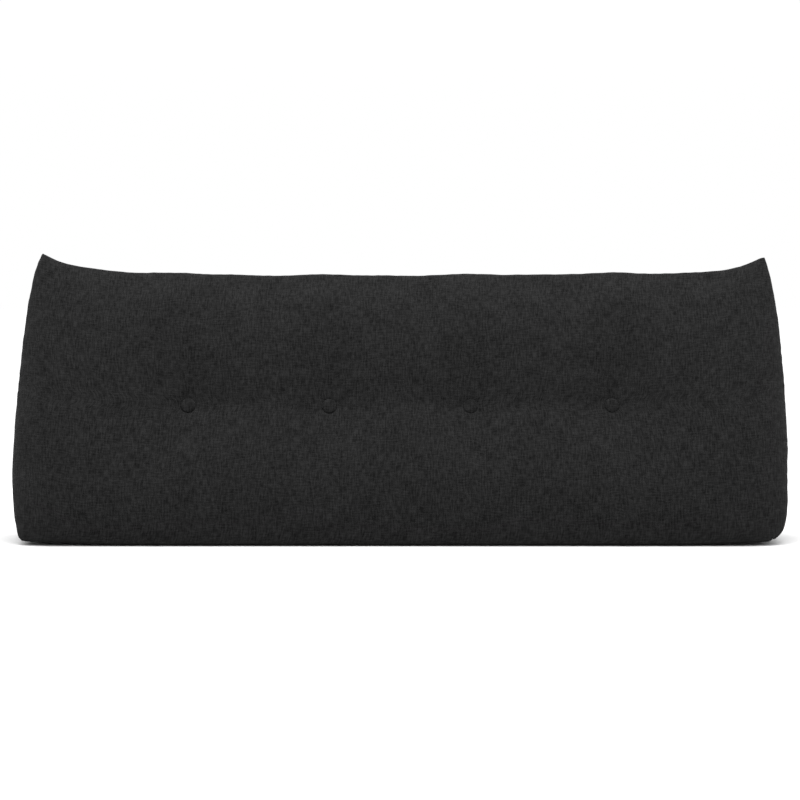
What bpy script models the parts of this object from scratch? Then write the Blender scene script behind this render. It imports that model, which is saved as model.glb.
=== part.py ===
"""Wedge back cushion: a button-tufted foam wedge in a zipped linen cover.

Units are metres. +X runs along the width, the sloping front faces -Y, +Z is up, and the cushion
stands on its base at z = 0. The cover is six sewn panels over a foam wedge with fibre batting on
its front. Four covered buttons are tied through the foam to flat anchor buttons behind it, and a
coil zip in the back lets the cover come off.
"""

from math import cos, exp, pi, radians, sin, sqrt

import bmesh
import bpy
from mathutils import Matrix, Vector

# Overall shape
SEAM_X = 0.6970  # half width at the side seams
SIDE_BULGE = 0.0030  # how far the side gussets stand out past their seams
BACK_Y = 0.100  # the flat of the back
BACK_SEAM_Y = 0.094  # the seams around the back, pulled in from its flat
FRONT_SEAM_Y = -0.0849  # the seam along the front of the base
BASE_SEAM_Z = 0.005  # height of the seams around the base
RIDGE_Z = 0.480  # height of the top seam at mid width
EAR_TIP = (0.012, 0.025)  # extra height and reach of the pointed corner
EAR_RISE = (0.032, 0.140)  # extra height and reach of the long rise towards it

# Stuffed shape of the faces
FRONT_BULGE = 0.036
FRONT_BULGE_TAPER = 0.16  # share of it lost from the foot of the slope to its top
FRONT_EDGE_REACH = 0.085  # how far in from its seams the front reaches its full bulge
CREASE_DEPTH = 0.008
CREASE_HALF_HEIGHT = 0.040
CREASE_END = (0.45, 0.62)  # where the crease starts to fade along X, and where it is gone
FACE_EDGE_REACH = 0.030  # the same for the back, base and side faces

# Layers, and the gap between neighbours
COVER = 0.0015
GAP = 0.0003
LIP = 0.0002  # how far a panel's sewn edge stands off the seam, so that neighbours don't touch
BATTING = 0.008
FOAM_INSET = COVER + 2 * GAP + BATTING
FOAM_BACK_Y = BACK_Y - COVER - 0.0012
FOAM_BACK_EDGE_Y = BACK_SEAM_Y - 0.002
FOAM_BASE_Z = COVER + 0.0012
FOAM_SIDE_BULGE = SIDE_BULGE + FOAM_INSET - COVER - 0.0016

# Tufting
BUTTON_X = (-0.3833, -0.1278, 0.1278, 0.3833)
BUTTON_V = 0.495  # how far up the front they sit, as a share of its slope
TUFT_BULGE = 0.006  # what is left of the bulge under a button
TUFT_FLAT = 0.018  # half side of the flat where a button sits
TUFT_REACH = 0.062  # where the dimple ends
TUFT_HOLE_R = 0.0034
BUTTON_R = 0.0132
BUTTON_SKIN = 0.0007  # the cloth over the shell
SHELL_WALL = 0.0006
RIM_Z = 0.0052  # height of a button's rim over the cover
DOME_RISE = 0.0042  # from its rim to its top
TUCK_R = 0.0094  # where the cloth ends under the button
TUCK_Z = (0.0030, 0.0038)
PLATE_R = 0.0090
PLATE_Z = (0.0042, 0.0048)
EYE_HALF_WIDTH = 0.0034
EYE_Z = (0.0026, 0.0018)  # height of its shoulders, and how far its loop drops under them
EYE_WIRE_R = 0.0005
ANCHOR_R = 0.0100
ANCHOR_POCKET_R = 0.0115
ANCHOR_DEPTH = 0.012  # how deep the anchor is pulled into the back of the foam
TWINE_R = 0.0008
STRAND_APART = 0.0018  # half the distance between the two strands

# Zip, which lies along X in a shallow groove in the back
ZIP_Z = 0.080
ZIP_END_X = 0.545  # the slider's centre at either end of its travel
GROOVE_DEPTH = 0.0035
COVER_GROOVE = (GROOVE_DEPTH, 0.020, 0.036)  # depth, then half widths of its floor and its mouth
FOAM_GROOVE = (GROOVE_DEPTH + 0.0045, 0.026, 0.044)
GROOVE_END = (0.600, 0.632)  # where the groove starts to fade, and where it is gone
SLOT_HALF = 0.0048
SLOT_END = (0.562, 0.578)
TAPE_Y = BACK_Y - GROOVE_DEPTH - COVER - GAP - 0.0003
TAPE_HALF_THICK = 0.0003
TAPE_Z = (0.0034, 0.0190)
TAPE_END_X = 0.580
COIL_Z = (0.0008, 0.0031)
COIL_HALF_THICK = 0.0012
COIL_END_X = 0.5535
SLIDER_LENGTH = 0.0110
PULL_AXIS_RISE = 0.00355  # the pull's pivot above the middle of the tape

# Mesh columns over half the width besides those around the tufts, and rows and shares of faces
PLAIN_COLUMNS = (0.2556, 0.512, 0.562, 0.578, 0.610, 0.640, 0.668, 0.683)
FRONT_ROWS = (
    0.0, 0.012, 0.047, 0.085, 0.140, 0.196, 0.240, 0.340, 0.457,
    0.533, 0.650, 0.760, 0.870, 0.950, 0.986, 1.0,
)  # fmt: skip
UPPER_BACK_ROWS = (0.0, 0.038, 0.078, 0.50, 0.925, 0.96, 0.985, 0.996, 1.0)
LOWER_BACK_ROWS = (0.0, 0.25, 0.38, 0.50, 0.68, 0.84, 0.95, 1.0)
GUSSET_ROWS = (0.0, 0.004, 0.02, 0.06, 0.12, 0.25, 0.45, 0.65, 0.82, 0.93, 0.998)
GUSSET_SHARES = (0.0, 0.02, 0.08, 0.22, 0.5, 0.78, 0.92, 0.98, 1.0)
FOAM_SHARES = (0.0, 0.05, 0.17, 0.5, 0.83, 0.95, 1.0)


def material(name, colour, roughness, metallic=0.0):
    mat = bpy.data.materials.new(name)
    mat.use_nodes = True
    shader = mat.node_tree.nodes["Principled BSDF"]
    shader.inputs["Base Color"].default_value = (*colour, 1.0)
    shader.inputs["Roughness"].default_value = roughness
    shader.inputs["Metallic"].default_value = metallic
    mat.diffuse_color = (*colour, 1.0)
    return mat


def mesh_object(name, verts, faces, mat, smooth_angle=40.0):
    mesh = bpy.data.meshes.new(name)
    mesh.from_pydata([tuple(v) for v in verts], [], faces)
    mesh.materials.append(mat)
    work = bmesh.new()
    work.from_mesh(mesh)
    bmesh.ops.remove_doubles(work, verts=work.verts, dist=1e-6)
    bmesh.ops.recalc_face_normals(work, faces=work.faces)
    if work.calc_volume(signed=True) < 0.0:
        bmesh.ops.reverse_faces(work, faces=work.faces)
    work.to_mesh(mesh)
    work.free()
    mesh.shade_smooth()
    mesh.set_sharp_from_angle(angle=radians(smooth_angle))
    obj = bpy.data.objects.new(name, mesh)
    bpy.context.scene.collection.objects.link(obj)
    return obj


# ---- the wedge's surfaces -------------------------------------------------------------------


def ridge_height(x, ears=1.0):
    """Height of the top seam, which rises towards the pointed corners by this share."""
    in_from_end = SEAM_X - abs(x)
    rise = sum(height * exp(-in_from_end / reach) for height, reach in (EAR_TIP, EAR_RISE))
    return RIDGE_Z + ears * rise


def chord(x, ears=1.0):
    """The line up the slope at x: its foot, its direction, the way out of the front, its length."""
    foot = Vector((FRONT_SEAM_Y, BASE_SEAM_Z))
    rise = Vector((BACK_SEAM_Y, ridge_height(x, ears))) - foot
    slope = rise.normalized()
    return foot, slope, Vector((-slope.y, slope.x)), rise.length


def edge_rise(distance, reach):
    """Quarter-round rise from 0 at a seam to 1 where the face is full."""
    short = 1.0 - min(max(distance / reach, 0.0), 1.0)
    return sqrt(1.0 - short * short)


def fade(value, start, end):
    """1 up to start, falling smoothly to 0 at end."""
    t = min(max((value - start) / (end - start), 0.0), 1.0)
    return 1.0 - t * t * (3.0 - 2.0 * t)


def slope_position(v, length, inset):
    """Distance up the slope of row v, whose first and last rows are moved in by the inset."""
    low = 0.3 * length
    if v < 0.3:
        return inset + (low - inset) * v / 0.3
    if v > 0.7:
        return length - inset - (low - inset) * (1.0 - v) / 0.3
    return v * length


def front_bulge(x, along, length, inset):
    """How far the front stands out from its chord: full rolls, a crease and the button dimples."""
    full = FRONT_BULGE * (1.0 - FRONT_BULGE_TAPER * along / length) - inset
    bulge = full * edge_rise(SEAM_X - inset - abs(x), FRONT_EDGE_REACH)
    bulge *= edge_rise(min(along, length - along) - inset, FRONT_EDGE_REACH)
    height = along - BUTTON_V * length
    crease = exp(-((height / CREASE_HALF_HEIGHT) ** 2)) * fade(abs(x), *CREASE_END)
    bulge -= CREASE_DEPTH * crease
    for button_x in BUTTON_X:
        spread = max(abs(x - button_x), abs(height))
        near = fade(spread, TUFT_FLAT, TUFT_REACH)
        bulge += (TUFT_BULGE - inset - bulge) * near
    return bulge


def front_point(x, v, inset=0.0, lip=0.0, ears=1.0):
    """A point of the front, or of a surface the inset under it; lip lifts a panel's own edge."""
    foot, slope, outward, length = chord(x, ears)
    along = slope_position(v, length, inset)
    at_edge = v in (0.0, 1.0) or abs(x) > SEAM_X - inset - 1e-6
    bulge = lip if at_edge else front_bulge(x, along, length, inset)
    spot = foot + slope * along + outward * bulge
    return Vector((x, spot.x, spot.y))


def groove(x, z, depth, flat, reach):
    return depth * fade(abs(z - ZIP_Z), flat, reach) * fade(abs(x), *GROOVE_END)


def face_rise(across, half_width, along, low, high):
    """Rise of a plain face from 0 at its four seams to 1."""
    rise = edge_rise(half_width - abs(across), FACE_EDGE_REACH)
    return rise * edge_rise(min(along - low, high - along), FACE_EDGE_REACH)


def columns(half_width=SEAM_X):
    """The x of every mesh column, from one side seam to the other."""
    steps = (-TUFT_REACH, -TUFT_FLAT, TUFT_FLAT, TUFT_REACH)
    tufts = [x + step for x in BUTTON_X if x > 0.0 for step in steps]
    right = sorted(tufts + list(PLAIN_COLUMNS))
    right.append(half_width)
    return [-x for x in reversed(right)] + [0.0] + right


def slab(name, outer, inner, mat):
    """A closed sheet between two grids of points, which are lists of rows of equal length."""
    rows = len(outer)
    cols = len(outer[0])
    verts = [p for row in outer for p in row] + [p for row in inner for p in row]
    under = rows * cols

    def quad(i, j, base):
        corner = base + i * cols + j
        return (corner, corner + 1, corner + cols + 1, corner + cols)

    faces = []
    for i in range(rows - 1):
        for j in range(cols - 1):
            faces.append(quad(i, j, 0))
            faces.append(quad(i, j, under))
    for i in range(rows - 1):
        for j in (0, cols - 1):
            a = i * cols + j
            faces.append((a, a + cols, a + cols + under, a + under))
    for j in range(cols - 1):
        for i in (0, rows - 1):
            a = i * cols + j
            faces.append((a, a + 1, a + 1 + under, a + under))
    return mesh_object(name, verts, faces, mat)


# ---- cover panels ---------------------------------------------------------------------------


def front_grid(inset, lip=0.0, ears=1.0):
    """Grid over the sloping face, or over a surface the inset under it."""
    across = columns(SEAM_X - inset)
    return [[front_point(x, v, inset, lip, ears) for x in across] for v in FRONT_ROWS]


def front_panel(mat):
    return slab("front_panel", front_grid(0.0, LIP), front_grid(COVER, LIP), mat)


def back_point(x, z, inset):
    """A point of the back cover, whose sewn edges stay on the seams."""
    half_width = SEAM_X - inset
    low = BASE_SEAM_Z + inset
    high = ridge_height(x) - inset
    full = BACK_Y - BACK_SEAM_Y - inset
    rise = face_rise(x, half_width, z, low, high)
    bulge = LIP + (full - LIP) * rise - groove(x, z, *COVER_GROOVE)
    return Vector((x, BACK_SEAM_Y + bulge, z))


def back_grid(upper, inset):
    """Grid over the back, from the zip up to the ridge or down to the base seam."""
    shares = UPPER_BACK_ROWS if upper else LOWER_BACK_ROWS
    grid = []
    for share in shares:
        line = []
        for x in columns(SEAM_X - inset):
            slot = SLOT_HALF * fade(abs(x), *SLOT_END) + 0.7 * GAP
            start = ZIP_Z + (slot if upper else -slot)
            end = ridge_height(x) - inset if upper else BASE_SEAM_Z + inset
            line.append(back_point(x, start + (end - start) * share, inset))
        grid.append(line)
    return grid


def back_panels(mat):
    slab("back_panel_upper", back_grid(True, 0.0), back_grid(True, COVER), mat)
    slab("back_panel_lower", back_grid(False, 0.0), back_grid(False, COVER), mat)


def base_panel(mat):
    grids = []
    edge = (0.0, 0.0015, 0.005, 0.010, 0.018, FACE_EDGE_REACH)
    for inset in (0.0, COVER):
        front_y = FRONT_SEAM_Y + inset
        back_y = BACK_SEAM_Y - inset
        half_width = SEAM_X - inset
        depths = [front_y + step for step in edge] + [back_y - step for step in reversed(edge)]
        across = [step - half_width for step in edge] + [half_width - step for step in reversed(edge)]
        grid = []
        for y in depths:
            line = []
            for x in across:
                rise = face_rise(x, half_width, y, front_y, back_y)
                drop = LIP + (BASE_SEAM_Z - inset - LIP) * rise
                line.append(Vector((x, y, BASE_SEAM_Z - drop)))
            grid.append(line)
        grids.append(grid)
    return slab("base_panel", grids[0], grids[1], mat)


def gusset_corners(inset):
    """Corners (y, z) of a side panel: its foot, its top and its back corner, moved in evenly."""
    foot, slope, outward, _ = chord(SEAM_X)
    start = foot - outward * inset
    y_back = BACK_SEAM_Y - inset
    z_base = BASE_SEAM_Z + inset
    low = start + slope * ((z_base - start.y) / slope.y)
    top = start + slope * ((y_back - start.x) / slope.x)
    return low, top, Vector((y_back, z_base))


def gusset_rise(width, w, height):
    """Share of its full bulge that a side panel has, w across and height above its base seam."""
    rise = edge_rise(min(w, 1.0 - w) * width, 0.045) * edge_rise(height, 0.05)
    return rise * min(1.0, width / 0.09)


def gusset(name, side, mat):
    grids = []
    for inset in (0.0, COVER):
        low, top, corner = gusset_corners(inset)
        grid = []
        for v in GUSSET_ROWS:
            front_spot = low.lerp(top, v)
            back_spot = Vector((corner.x, front_spot.y))
            width = back_spot.x - front_spot.x
            line = []
            for w in GUSSET_SHARES:
                spot = front_spot.lerp(back_spot, w)
                rise = gusset_rise(width, w, spot.y - low.y)
                out = LIP + (SIDE_BULGE - inset - LIP) * rise
                line.append(Vector((side * (SEAM_X + out), spot.x, spot.y)))
            grid.append(line)
        grids.append(grid)
    return slab(name, grids[0], grids[1], mat)


# ---- filling --------------------------------------------------------------------------------


def fibre_batting(mat):
    """A sheet of fibre over the front of the foam, under the cover."""
    return slab("fibre_batting", front_grid(COVER + GAP), front_grid(COVER + GAP + BATTING), mat)


def foam_back_row(i, front_line):
    """The foam's back at row i, from the height of the front's first row to that of its last."""
    line = []
    for x, foot, head in front_line:
        low = foot.z
        high = head.z
        z = low + (high - low) * FRONT_ROWS[i]
        edge_y = FOAM_BACK_EDGE_Y + (head.y - FOAM_BACK_EDGE_Y) * FRONT_ROWS[i]
        half_width = SEAM_X - FOAM_INSET
        rise = face_rise(x, half_width, z, low, high)
        y = edge_y + (FOAM_BACK_Y - edge_y) * rise
        line.append(Vector((x, y - groove(x, z, *FOAM_GROOVE) * rise, z)))
    return line


def foam_core(mat):
    """The foam wedge, cut straight along its top: its front, back, base and two ends."""
    half_width = SEAM_X - FOAM_INSET
    last = len(FRONT_ROWS) - 1
    front_rows = front_grid(FOAM_INSET, ears=0.0)
    ends = [(foot.x, foot, head) for foot, head in zip(front_rows[0], front_rows[last])]
    back_rows = [foam_back_row(i, ends) for i in range(last)] + [front_rows[last]]
    base_rows = []
    for w in FOAM_SHARES:
        line = []
        for front_edge, back_edge in zip(front_rows[0], back_rows[0]):
            spot = front_edge.lerp(back_edge, w)
            rise = face_rise(spot.x, half_width, spot.y, front_edge.y, back_edge.y)
            spot.z += (FOAM_BASE_Z - spot.z) * rise
            line.append(spot)
        base_rows.append(line)
    grids = [front_rows, back_rows, base_rows]
    for side, j in ((-1, 0), (1, -1)):
        grid = [[row[j] for row in base_rows]]
        for front_row, back_row in zip(front_rows[1:], back_rows[1:]):
            start = front_row[j]
            end = back_row[j]
            width = (end - start).length
            line = []
            for w in FOAM_SHARES:
                spot = start.lerp(end, w)
                rise = gusset_rise(width, w, spot.z - front_rows[0][j].z)
                spot.x += side * FOAM_SIDE_BULGE * rise
                line.append(spot)
            grid.append(line)
        grids.append(grid)
    verts = []
    faces = []
    for grid in grids:
        start = len(verts)
        cols = len(grid[0])
        for line in grid:
            verts.extend(line)
        for i in range(len(grid) - 1):
            for a in range(start + i * cols, start + (i + 1) * cols - 1):
                faces.append((a, a + 1, a + cols + 1, a + cols))
    return mesh_object("foam_core", verts, faces, mat)


# ---- buttons --------------------------------------------------------------------------------


def button_frame(x):
    """Matrix whose local z is the button's axis, out of the front, with its origin on the cover."""
    outward = chord(x)[2]
    seat = front_point(x, BUTTON_V)
    axis = Vector((0.0, outward.x, outward.y))
    across = Vector((1.0, 0.0, 0.0))
    up = axis.cross(across)
    frame = Matrix((across, up, axis)).transposed().to_4x4()
    frame.translation = seat
    return frame


def turned(name, profile, frame, mat, segments=16, smooth_angle=35.0):
    """A solid of revolution about the frame's z from (radius, height) points, ends on the axis."""
    verts = []
    rings = []
    for radius, height in profile:
        if radius == 0.0:
            rings.append([len(verts)])
            verts.append(frame @ Vector((0.0, 0.0, height)))
            continue
        ring = []
        for k in range(segments):
            turn = 2 * pi * k / segments
            ring.append(len(verts))
            verts.append(frame @ Vector((radius * cos(turn), radius * sin(turn), height)))
        rings.append(ring)
    faces = []
    for low, high in zip(rings, rings[1:]):
        for k in range(segments):
            a = low[k % len(low)]
            b = low[(k + 1) % len(low)]
            c = high[(k + 1) % len(high)]
            d = high[k % len(high)]
            faces.append(tuple(dict.fromkeys((a, b, c, d))))
    return mesh_object(name, verts, faces, mat, smooth_angle)


def dome(radius, rim_z, height, steps=4):
    """Points of a shallow dome from its rim to the point on the axis."""
    points = []
    for k in range(steps + 1):
        turn = 0.5 * pi * k / steps
        points.append((radius * cos(turn), rim_z + height * sin(turn)))
    points[-1] = (0.0, rim_z + height)
    return points


def button_parts(index, x, mats):
    frame = button_frame(x)
    shell_r = BUTTON_R - BUTTON_SKIN - GAP
    label = f"button_{index}"
    outer = dome(BUTTON_R, RIM_Z, DOME_RISE)
    inner = dome(shell_r + GAP, RIM_Z, DOME_RISE - BUTTON_SKIN)
    low, high = TUCK_Z
    fold = [(TUCK_R, high), (TUCK_R, low), (BUTTON_R - 0.0012, low + 0.0002), (BUTTON_R - 0.0002, PLATE_Z[0])]
    lining = list(reversed(inner)) + [(shell_r + GAP, PLATE_Z[0]), (shell_r - SHELL_WALL, high)]
    turned(f"{label}_cover", lining + fold + outer, frame, mats["linen"])
    cup_rise = DOME_RISE - BUTTON_SKIN - GAP
    cup_outer = dome(shell_r, RIM_Z, cup_rise)
    cup_inner = dome(shell_r - SHELL_WALL, RIM_Z, cup_rise - SHELL_WALL)
    lip_z = PLATE_Z[0] + GAP
    lip = [(shell_r - SHELL_WALL, lip_z), (shell_r, lip_z)]
    turned(f"{label}_shell", list(reversed(cup_inner)) + lip + cup_outer, frame, mats["steel"])
    button_back(f"{label}_back", frame, mats["steel"])
    twine_loop(f"{label}_twine", x, frame, mats["twine"])
    anchor(f"{label}_anchor", x, frame, mats["anchor"])


def button_back(name, frame, mat):
    """The closing plate with its wire eye, as one piece."""
    low, high = PLATE_Z
    plate = turned(name, [(0.0, low), (PLATE_R, low), (PLATE_R, high), (0.0, high)], frame, mat)
    middle = 0.5 * (low + high) + 0.0001
    shoulder, drop = EYE_Z
    route = [Vector((-EYE_HALF_WIDTH, 0.0, middle))]
    for k in range(9):
        turn = pi * k / 8
        route.append(Vector((-EYE_HALF_WIDTH * cos(turn), 0.0, shoulder - drop * sin(turn))))
    route.append(Vector((EYE_HALF_WIDTH, 0.0, middle)))
    eye = tube(name + "_eye", [frame @ p for p in route], EYE_WIRE_R, mat, sides=8)
    unite(plate, eye)
    return plate


def anchor_depth(x, frame):
    """Distance back along the button's axis from its seat to where the anchor sits."""
    axis = frame.to_3x3() @ Vector((0.0, 0.0, 1.0))
    seat = frame.translation
    to_back = (BACK_Y - COVER - GAP - seat.y) / -axis.y
    return to_back - ANCHOR_DEPTH


def twine_loop(name, x, frame, mat):
    """Doubled twine from the button's eye through the foam, closed by a knot behind the anchor."""
    depth = anchor_depth(x, frame)
    top = 0.0008  # height of the turn's centre, around the eye
    route = []
    for k in range(9):
        turn = pi * k / 8
        route.append(Vector((0.0, STRAND_APART * cos(turn), top + STRAND_APART * sin(turn))))
    bottom = -depth - 0.0050
    route.append(Vector((0.0, -STRAND_APART, bottom + 0.0012)))
    for k in range(5):
        turn = pi * k / 4
        route.append(Vector((0.0, -STRAND_APART * cos(turn), bottom - 0.0006 * sin(turn))))
    route.append(Vector((0.0, STRAND_APART, bottom + 0.0012)))
    return tube(name, [frame @ p for p in route], TWINE_R, mat, sides=8, cyclic=True)


def anchor(name, x, frame, mat):
    """The flat two-hole button that takes the pull behind the foam."""
    depth = anchor_depth(x, frame)
    top = -depth - GAP
    bottom = top - 0.0024
    profile = [
        (0.0, top), (ANCHOR_R - 0.0006, top), (ANCHOR_R, top - 0.0006),
        (ANCHOR_R, bottom + 0.0006), (ANCHOR_R - 0.0006, bottom), (0.0, bottom),
    ]  # fmt: skip
    body = turned(name, profile, frame, mat, segments=18)
    for side in (-1, 1):
        spot = Vector((0.0, side * STRAND_APART, 0.0))
        cutter = cylinder(f"{name}_cutter", frame, spot, TWINE_R + GAP, top + 0.002, bottom - 0.002, 8, mat)
        cut(body, cutter)
    return body


# ---- solids and Booleans --------------------------------------------------------------------


def tube(name, route, radius, mat, sides=8, cyclic=False):
    """A round tube along a poly route, made from rings that keep one plane of bend."""
    count = len(route)
    verts = []
    bend = None
    for a, b, c in zip(route, route[1:], route[2:]):
        normal = (b - a).cross(c - b)
        if bend is None or normal.length > bend.length:
            bend = normal
    bend = bend.normalized()
    for k, point in enumerate(route):
        before = route[(k - 1) % count] if cyclic or k else point
        after = route[(k + 1) % count] if cyclic or k < count - 1 else point
        way = (after - before).normalized()
        out = bend.cross(way)
        for s in range(sides):
            turn = 2 * pi * (s + 0.5) / sides
            verts.append(point + (bend * cos(turn) + out * sin(turn)) * radius)
    faces = []
    for k in range(count if cyclic else count - 1):
        here = k * sides
        there = ((k + 1) % count) * sides
        for s in range(sides):
            t = (s + 1) % sides
            faces.append((here + s, here + t, there + t, there + s))
    if not cyclic:
        faces.append(tuple(range(sides)))
        faces.append(tuple((count - 1) * sides + s for s in range(sides)))
    return mesh_object(name, verts, faces, mat)


def cylinder(name, frame, spot, radius, z_high, z_low, segments, mat):
    profile = [(0.0, z_low), (radius, z_low), (radius, z_high), (0.0, z_high)]
    return turned(name, profile, frame @ Matrix.Translation(spot), mat, segments)


def box(name, low, high, mat):
    """A box between two corners."""
    verts = [(x, y, z) for x in (low[0], high[0]) for y in (low[1], high[1]) for z in (low[2], high[2])]
    faces = [(0, 1, 3, 2), (4, 6, 7, 5), (0, 4, 5, 1), (2, 3, 7, 6), (0, 2, 6, 4), (1, 5, 7, 3)]
    return mesh_object(name, verts, faces, mat)


def combine(body, tool, operation):
    """Apply a Boolean of the tool to the body, then drop the tool."""
    modifier = body.modifiers.new(operation.lower(), "BOOLEAN")
    modifier.operation = operation
    modifier.solver = "EXACT"
    modifier.object = tool
    bpy.context.view_layer.update()
    evaluated = body.evaluated_get(bpy.context.evaluated_depsgraph_get())
    mesh = bpy.data.meshes.new_from_object(evaluated)
    body.modifiers.clear()
    body.data = mesh
    bpy.data.objects.remove(tool)


def cut(body, tool):
    combine(body, tool, "DIFFERENCE")


def unite(body, tool):
    combine(body, tool, "UNION")


def tuft_holes(bodies, foam, mat):
    """Open the way for each button's twine, and the pocket that its anchor sinks into."""
    for x in BUTTON_X:
        frame = button_frame(x)
        depth = anchor_depth(x, frame)
        for body in bodies:
            cut(body, cylinder("channel", frame, Vector(), TUFT_HOLE_R, 0.01, -0.03, 12, mat))
        pocket_end = -depth - 0.04
        profile = [
            (0.0, pocket_end), (ANCHOR_POCKET_R, pocket_end), (ANCHOR_POCKET_R, -depth),
            (TUFT_HOLE_R, -depth), (TUFT_HOLE_R, 0.01), (0.0, 0.01),
        ]  # fmt: skip
        cut(foam, turned("channel", profile, frame, mat))


# ---- zip ------------------------------------------------------------------------------------


def zip_tapes(mats):
    for label, side in (("upper", 1), ("lower", -1)):
        heights = sorted(ZIP_Z + side * z for z in TAPE_Z)
        low = (-TAPE_END_X, TAPE_Y - TAPE_HALF_THICK, heights[0])
        high = (TAPE_END_X, TAPE_Y + TAPE_HALF_THICK, heights[1])
        box(f"zip_tape_{label}", low, high, mats["tape"])


def zip_coils(mats):
    """Each half of the closed chain, as a bar of the coil's outer shape with eased edges."""
    ease = 0.0005
    for label, side in (("upper", 1), ("lower", -1)):
        verts = []
        for x in (-COIL_END_X, COIL_END_X):
            for z, y in (
                (COIL_Z[0], COIL_HALF_THICK - ease),
                (COIL_Z[0] + ease, COIL_HALF_THICK),
                (COIL_Z[1] - ease, COIL_HALF_THICK),
                (COIL_Z[1], COIL_HALF_THICK - ease),
                (COIL_Z[1], -COIL_HALF_THICK + ease),
                (COIL_Z[1] - ease, -COIL_HALF_THICK),
                (COIL_Z[0] + ease, -COIL_HALF_THICK),
                (COIL_Z[0], -COIL_HALF_THICK + ease),
            ):
                verts.append((x, TAPE_Y + y, ZIP_Z + side * z))
        faces = [tuple(range(8)), tuple(range(15, 7, -1))]
        faces += [(k, (k + 1) % 8, (k + 1) % 8 + 8, k + 8) for k in range(8)]
        mesh_object(f"zip_coil_{label}", verts, faces, mats["coil"])


def zip_stops(mats):
    """A crimped stop on each coil at the closed end, and one across both at the open end."""
    half = COIL_HALF_THICK + 0.0003
    start = COIL_END_X + GAP
    for label, side in (("upper", 1), ("lower", -1)):
        heights = sorted(ZIP_Z + side * z for z in COIL_Z)
        low = (start, TAPE_Y - half, heights[0])
        high = (start + 0.0035, TAPE_Y + half, heights[1])
        box(f"zip_top_stop_{label}", low, high, mats["zinc"])
    low = (-start - 0.0045, TAPE_Y - half, ZIP_Z - COIL_Z[1])
    high = (-start, TAPE_Y + half, ZIP_Z + COIL_Z[1])
    box("zip_bottom_stop", low, high, mats["zinc"])


def slider_outline(half_width, nose, length):
    """Plan of a slider plate (x, z): a rounded nose and a wide mouth with cut corners."""
    half = length / 2
    return [
        (-half + nose, -half_width * 0.72), (-half, -half_width * 0.45), (-half, half_width * 0.45),
        (-half + nose, half_width * 0.72), (half * 0.2, half_width), (half - 0.0008, half_width),
        (half, half_width - 0.0008), (half, -half_width + 0.0008), (half - 0.0008, -half_width),
        (half * 0.2, -half_width),
    ]  # fmt: skip


def prism(name, outline, y_low, y_high, mat):
    """A plate with a plan outline (x, z) between two depths along Y."""
    count = len(outline)
    verts = [(x, y, z) for y in (y_low, y_high) for x, z in outline]
    faces = [tuple(range(count)), tuple(range(2 * count - 1, count - 1, -1))]
    faces += [(k, (k + 1) % count, (k + 1) % count + count, k + count) for k in range(count)]
    return mesh_object(name, verts, faces, mat)


def zip_slider(mats):
    """Two plates joined by the post between the coils, side flanges and the crown for the pull."""
    mat = mats["zinc"]
    channel = COIL_HALF_THICK + GAP
    wall = 0.0009
    sink = 0.0004  # how far the joined blocks run into each other
    flange = (COIL_Z[1] + GAP, 0.0043)
    half_slot = TAPE_HALF_THICK + 0.00035
    half = SLIDER_LENGTH / 2
    post = (0.0012, 0.0046)
    post_half = 0.0005
    corner = 0.0008
    outline = slider_outline(flange[1], 0.0018, SLIDER_LENGTH)
    body = prism("zip_slider", outline, channel, channel + wall, mat)
    unite(body, prism("plate", outline, -channel - wall, -channel, mat))
    inside = channel + sink
    unite(body, box("post", (post[0], -inside, -post_half), (post[1], inside, post_half), mat))
    for side in (-1, 1):
        heights = sorted(side * z for z in flange)
        for y_low, y_high in ((half_slot, inside), (-inside, -half_slot)):
            low = (half * 0.2, y_low, heights[0])
            high = (half - corner, y_high, heights[1])
            unite(body, box("flange", low, high, mat))
    top = channel + wall
    rise = 0.0032
    leg = (0.0027, 0.0036)
    crown_half = 0.0010
    for x_low, x_high in ((-leg[1], -leg[0]), leg):
        unite(body, box("crown_leg", (x_low, top - sink, -crown_half), (x_high, top + rise, crown_half), mat))
    strap_low = (-leg[1], top + rise - wall, -crown_half)
    unite(body, box("crown_strap", strap_low, (leg[1], top + rise, crown_half), mat))
    body.location = (ZIP_END_X, TAPE_Y, ZIP_Z)
    return body


def zip_pull(mats):
    """The flat tab with its window and cross-bar, its origin on the pivot under the crown."""
    mat = mats["zinc"]
    half_thick = 0.0006
    half_width = 0.0032
    length = 0.0270
    rail = 0.0008  # how far the rails run on past the cross-bar
    eye = 0.0047
    taper = 0.0060  # length of the narrowing tip
    ease = 0.0012
    window_half = 0.0015
    bar = (0.0007, 0.0019)  # its radius and half length
    hole_r = 0.0014
    body_outline = [
        (rail, -half_width + 0.5 * ease), (rail, half_width - 0.5 * ease), (0.0, half_width),
        (taper - length, half_width), (ease - length, half_width * 0.62), (-length, half_width * 0.25),
        (-length, -half_width * 0.25), (ease - length, -half_width * 0.62),
        (taper - length, -half_width), (0.0, -half_width),
    ]  # fmt: skip
    tab = prism("zip_pull", body_outline, -half_thick, half_thick, mat)
    past = 0.001  # how far the cutters run past the tab
    reach = half_thick + past
    cut(tab, box("window", (-eye, -reach, -window_half), (rail + past, reach, window_half), mat))
    radius, half = bar
    unite(tab, turned("cross_bar", [(0.0, -half), (radius, -half), (radius, half), (0.0, half)], Matrix(), mat, 12))
    hole = [(0.0, -reach), (hole_r, -reach), (hole_r, reach), (0.0, reach)]
    place = Matrix.Translation((taper - length, 0.0, 0.0)) @ Matrix.Rotation(pi / 2, 4, "X")
    cut(tab, turned("tab_hole", hole, place, mat))
    tab.location = (ZIP_END_X, TAPE_Y + PULL_AXIS_RISE, ZIP_Z)
    return tab


# ---- assembly -------------------------------------------------------------------------------


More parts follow.
